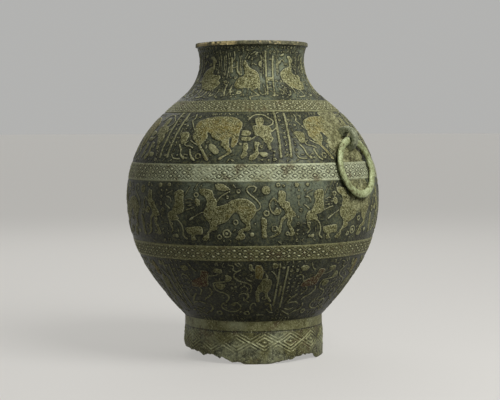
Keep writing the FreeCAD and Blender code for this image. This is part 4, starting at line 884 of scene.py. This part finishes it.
def makeFoot():
    # Rows run down the outside from the waist to the margin, across the margin, and up the inside to the floor.
    outer = vase["footBase"][0]
    rows = int(round(vase["footTop"][1] / foot["cell"]))
    turn = turnsRound(outer, foot["cell"])
    rim = ringGrid(turn, outer, 0.0)
    edge = footEdge(turn)
    broken = smoothStep(edge, 0.0, 2.0)
    edge = edge + broken * (1.8 * (mottle(rim, 3.4, 21) - 0.5) + 1.0 * (mottle(rim, 1.5, 22) - 0.5))
    edge = np.maximum(edge, 0.35 * mottle(rim, 4.0, 23))
    part = np.linspace(0, 1, rows)[:, None]
    height = vase["footTop"][1] + (edge + 0.8 - vase["footTop"][1]) * part
    radius = wallRadius(height)

    plain = ringGrid(turn, radius, height)
    eroded = smoothStep(mottle(plain, 13.0, 31) * 0.7 + mottle(plain, 5.0, 32) * 0.3, 0.55, 0.72)
    pattern = footPattern(turn, height) * (1 - foot["worn"] * eroded)
    line = smoothStep(foot["lineHalf"] - np.abs(height - foot["lineHeight"]), 0, 0.6)
    rough = mottle(plain, 5.5, 33) + 0.7 * mottle(plain, 2.2, 34) + 0.4 * mottle(plain, 1.1, 35) - 1.05
    low = smoothStep(26 - height, 0, 16)
    lift = foot["patternHeight"] * pattern - foot["lineDepth"] * line \
        + (foot["roughness"] + foot["lowRoughness"] * low) * rough - foot["sunk"]
    outside = ringGrid(turn, radius + lift * smoothStep(part, 0, 0.03), height)

    inner = outer - foot["wall"]
    margin = ringGrid(turn, outer - foot["wall"] * np.array([[0.42], [0.75]]), edge + np.array([[0.0], [0.15]]))
    up = np.linspace(0, 1, 14)[:, None]
    inside = ringGrid(turn, inner - 1.0 * up, edge + 0.9 + (foot["roof"] - edge - 0.9) * up)
    places = np.concatenate([outside, margin, inside])
    # Painted light: rise sets the colour, so ridges and raised places are paler, partly worn and partly painted
    # highlight, the plain above the line a little paler, the groove darker as painted shade, and the inside of the
    # foot darkest, painted shade under the vessel.
    aboveLine = 1 - smoothStep(foot["lineHeight"] - height, -1, 1)
    rise = 0.30 + 0.5 * pattern + 0.15 * aboveLine - 0.4 * line + 0.22 * rough
    rise = np.concatenate([rise, np.full(margin.shape[:2], 0.6), np.full(inside.shape[:2], 0.1)])
    dust = 0.35 * smoothStep(mottle(places, 15.0, 24), 0.3, 0.8)
    makeSurface("footSkin", places, footBronze, {"rise": rise, "dust": dust})


makeFoot()

# Lip: a rounded rim whose outer edge is chipped on the left of the front.
lip = {"radius": 63.0, "wall": 4.4, "round": 1.4, "top": 350.0, "cell": 0.7,
       "chipStart": -44, "chipEnd": 20, "chip": 1.5, "chipDrop": 0.6, "roughness": 0.18}


def makeLip():
    # The profile runs from the neck's top out, over the rounded rim and down inside. A chip moves the rim's outer
    # edge inward where a noise is high between the two turns.
    (neck, under), bend, top = vase["underLip"], lip["round"], lip["top"]
    outer, inner = lip["radius"], lip["radius"] - lip["wall"]
    across, up = np.cos(np.radians(np.linspace(0, 90, 5))), np.sin(np.radians(np.linspace(0, 90, 5)))
    profile = np.vstack([
        [(neck, under), (neck + 0.9, under), (outer, under + 0.1), (outer, under + 1.1), (outer, under + 2.2)],
        np.stack([outer - bend + bend * across, top - bend + bend * up], axis=1),
        [((outer + inner) / 2, top)],
        np.stack([inner + bend - bend * up, top - bend + bend * across], axis=1),
        [(inner, under + 1.5), (inner, under)]])
    radius, height = profile[:, :1], profile[:, 1:]
    turn = turnsRound(outer, lip["cell"])
    grid = ringGrid(turn, radius, height)
    inside = smoothStep(turnAway(turn, 0), lip["chipStart"] - 3, lip["chipStart"] + 3) \
        * smoothStep(-turnAway(turn, 0), -lip["chipEnd"] - 3, -lip["chipEnd"] + 3)
    bite = smoothStep(0.55 * mottle(grid, 6.0, 41) + 0.45 * mottle(grid, 1.8, 42), 0.36, 0.56) * inside
    bite = np.maximum(bite, smoothStep(mottle(grid, 2.6, 43), 0.70, 0.85) * 0.5)
    bite = bite * (smoothStep(radius, outer - 3.0, outer - 0.6) * (height > under + 0.6))
    rough = lip["roughness"] * (mottle(grid, 1.6, 44) - 1.0)
    rough[[0, -1]] = 0
    places = ringGrid(turn, radius - lip["chip"] * bite + rough,
                      height - lip["chipDrop"] * lip["chip"] * bite + rough * (height > top - 1))
    makeSurface("lipRim", places, lipBronze, {"bite": bite})


makeLip()

# Core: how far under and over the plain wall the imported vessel's skin is left out, how wide its foot is inside, and
# from which angle between two faces an edge is sharp.
core = {"under": 0.5, "over": 1.6, "footInside": 70, "sharp": 35}


def trimCore():
    # The rest of the vessel, its inside, floor and lugs: the frame's mesh without the faces that the surfaces above
    # stand for, which are the lip, the faces on the wall's outer skin and those of the foot.
    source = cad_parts["vessel"].data
    places = np.empty(len(source.vertices) * 3, np.float32)
    source.vertices.foreach_get("co", places)
    places = places.reshape(-1, 3).astype(float) / mm
    corners = np.empty(len(source.polygons) * 3, np.int32)
    source.polygons.foreach_get("vertices", corners)
    corners = corners.reshape(-1, 3)
    tidy, same = np.unique(np.round(places, 4), axis=0, return_inverse=True)
    radius, height = np.hypot(places[:, 0], places[:, 1]), places[:, 2]
    proud = radius - wallRadius(height)
    skin = (proud > -core["under"]) & (proud < core["over"]) & (height < vase["underLip"][1] + 0.01)
    onSkin = skin[corners].all(axis=1)
    inFoot = ((height[corners] < foot["roof"] + 1.6) & (radius[corners] > core["footInside"])).all(axis=1)
    onLip = (height[corners] > vase["underLip"][1] - 0.05).all(axis=1)
    kept = same.reshape(-1)[corners[~(onSkin | inFoot | onLip)]]
    kept = kept[(kept[:, 0] != kept[:, 1]) & (kept[:, 1] != kept[:, 2]) & (kept[:, 0] != kept[:, 2])]
    used, kept = np.unique(kept, return_inverse=True)
    kept = kept.reshape(-1, 3)
    mesh = bpy.data.meshes.new("vesselCore")
    mesh.from_pydata((tidy[used] * mm).tolist(), [], kept.tolist())
    mesh.update()
    mesh.shade_smooth()
    mesh.set_sharp_from_angle(angle=np.radians(core["sharp"]))
    mesh.materials.append(coreBronze)
    mesh.materials.append(lugBronze)
    middle = tidy[used][kept].mean(axis=1)
    onLug = np.hypot(middle[:, 0], middle[:, 1]) > wallRadius(middle[:, 2]) - core["under"]
    mesh.polygons.foreach_set("material_index", onLug.astype(np.int32))
    addPiece("vesselCore", mesh)
    print("vesselCore made:", len(kept), "of", len(corners), "faces kept")


trimCore()

for name in ("ring_right", "ring_left"):
    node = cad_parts[name]
    node.data.materials.clear()
    node.data.materials.append(ringBronze)
    node.data.shade_smooth()
print("rings given their bronze")

# Stage, in metres: a plain pale floor, one wide soft key from the front right, weaker lamps left and behind, an even
# sky. The camera and reflections see the pale floor and sky, which throw little light back on the vessel.
stage = {"floor": "#9a9894", "floorBounce": "#3a3937", "floorGlow": "#e6e4df", "glow": 0.50, "sky": "#e6e6e4",
         "skySeen": 0.565, "skyLight": 0.10, "reach": 30, "aim": 0.17}
cameraTurn = 36.0
lamps = (  # name, turn from the camera, rise, distance, power, size
    ("key", 46, 42, 1.5, 18.5, 0.8),
    ("fill", -60, 30, 1.6, 0.5, 1.0),
    ("back", 190, 42, 1.8, 8.0, 1.4))


def seenDirectly(material):
    # 1 on rays from the camera, off gloss or through glass, and 0 on light bounced between matt surfaces.
    camera, gloss, glass = (addNode(material, "LightPath", output=ray)
                            for ray in ("Is Camera Ray", "Is Glossy Ray", "Is Transmission Ray"))
    some = addNode(material, "Math", (camera, gloss), operation="MAXIMUM")
    return addNode(material, "Math", (some, glass), operation="MAXIMUM")


floorMaterial, add = newMaterial("paintedFloor")
seen = seenDirectly(floorMaterial)
floorColour = add("Mix", {0: seen, 6: stage["floorBounce"], 7: stage["floor"]}, **colours)
glow = add("Math", (seen, stage["glow"]), operation="MULTIPLY")
shader = add("BsdfPrincipled", {"Base Color": floorColour, "Roughness": 0.9, "Emission Color": stage["floorGlow"],
                                "Emission Strength": glow})
add("OutputMaterial", {"Surface": shader})
reach = stage["reach"]
floorMesh = bpy.data.meshes.new("floor")
floorMesh.from_pydata([(-reach, -reach, 0), (reach, -reach, 0), (reach, reach, 0), (-reach, reach, 0)], [],
                      [(0, 1, 2, 3)])
floorMesh.materials.append(floorMaterial)
floor = bpy.data.objects.new("floor", floorMesh)
bpy.context.scene.collection.objects.link(floor)

world = bpy.data.worlds.new("studio")
bpy.context.scene.world = world
world.use_nodes = True
backdrop = world.node_tree.nodes["Background"]
backdrop.inputs["Color"].default_value = hexColour(stage["sky"])
level = addNode(world, "MapRange", (seenDirectly(world), 0, 1, stage["skyLight"], stage["skySeen"]))
world.node_tree.links.new(level, backdrop.inputs["Strength"])

aim = Vector((0, 0, stage["aim"]))
for name, around, rise, distance, power, size in lamps:
    light = bpy.data.lights.new(name, "AREA")
    light.energy = power
    light.size = size
    lamp = bpy.data.objects.new(name, light)
    a, e = np.radians(cameraTurn + around), np.radians(rise)
    lamp.location = aim + Vector((np.sin(a) * np.cos(e), -np.cos(a) * np.cos(e), np.sin(e))) * distance
    lamp.rotation_euler = (aim - lamp.location).to_track_quat("-Z", "Y").to_euler()
    bpy.context.scene.collection.objects.link(lamp)

# Camera, in metres: fitted to the photo's frame of 500 by 400. Focal, width and side step are in its pixels, the
# sensor's width in millimetres.
shot = {"distance": 1.557, "height": 0.259, "pitch": 3.13, "roll": -0.4, "focal": 1380.0, "width": 500.0,
        "sideStep": 2.7, "sensor": 36.0}
camera = bpy.data.objects.new("camera", bpy.data.cameras.new("camera"))
camera.data.sensor_width = shot["sensor"]
camera.data.lens = shot["focal"] / shot["width"] * shot["sensor"]
camera.data.shift_x = -shot["sideStep"] / shot["width"]
a, e = np.radians(cameraTurn), np.radians(shot["pitch"])
camera.location = (np.sin(a) * shot["distance"], -np.cos(a) * shot["distance"], shot["height"])
ahead = Vector((-np.sin(a) * np.cos(e), np.cos(a) * np.cos(e), -np.sin(e)))
look = ahead.to_track_quat("-Z", "Y").to_matrix().to_4x4()
camera.rotation_euler = (look @ Matrix.Rotation(np.radians(shot["roll"]), 4, "Z")).to_euler()
bpy.context.scene.collection.objects.link(camera)
bpy.context.scene.camera = camera
bpy.context.scene.view_settings.view_transform = "Standard"
print("stage and camera set")
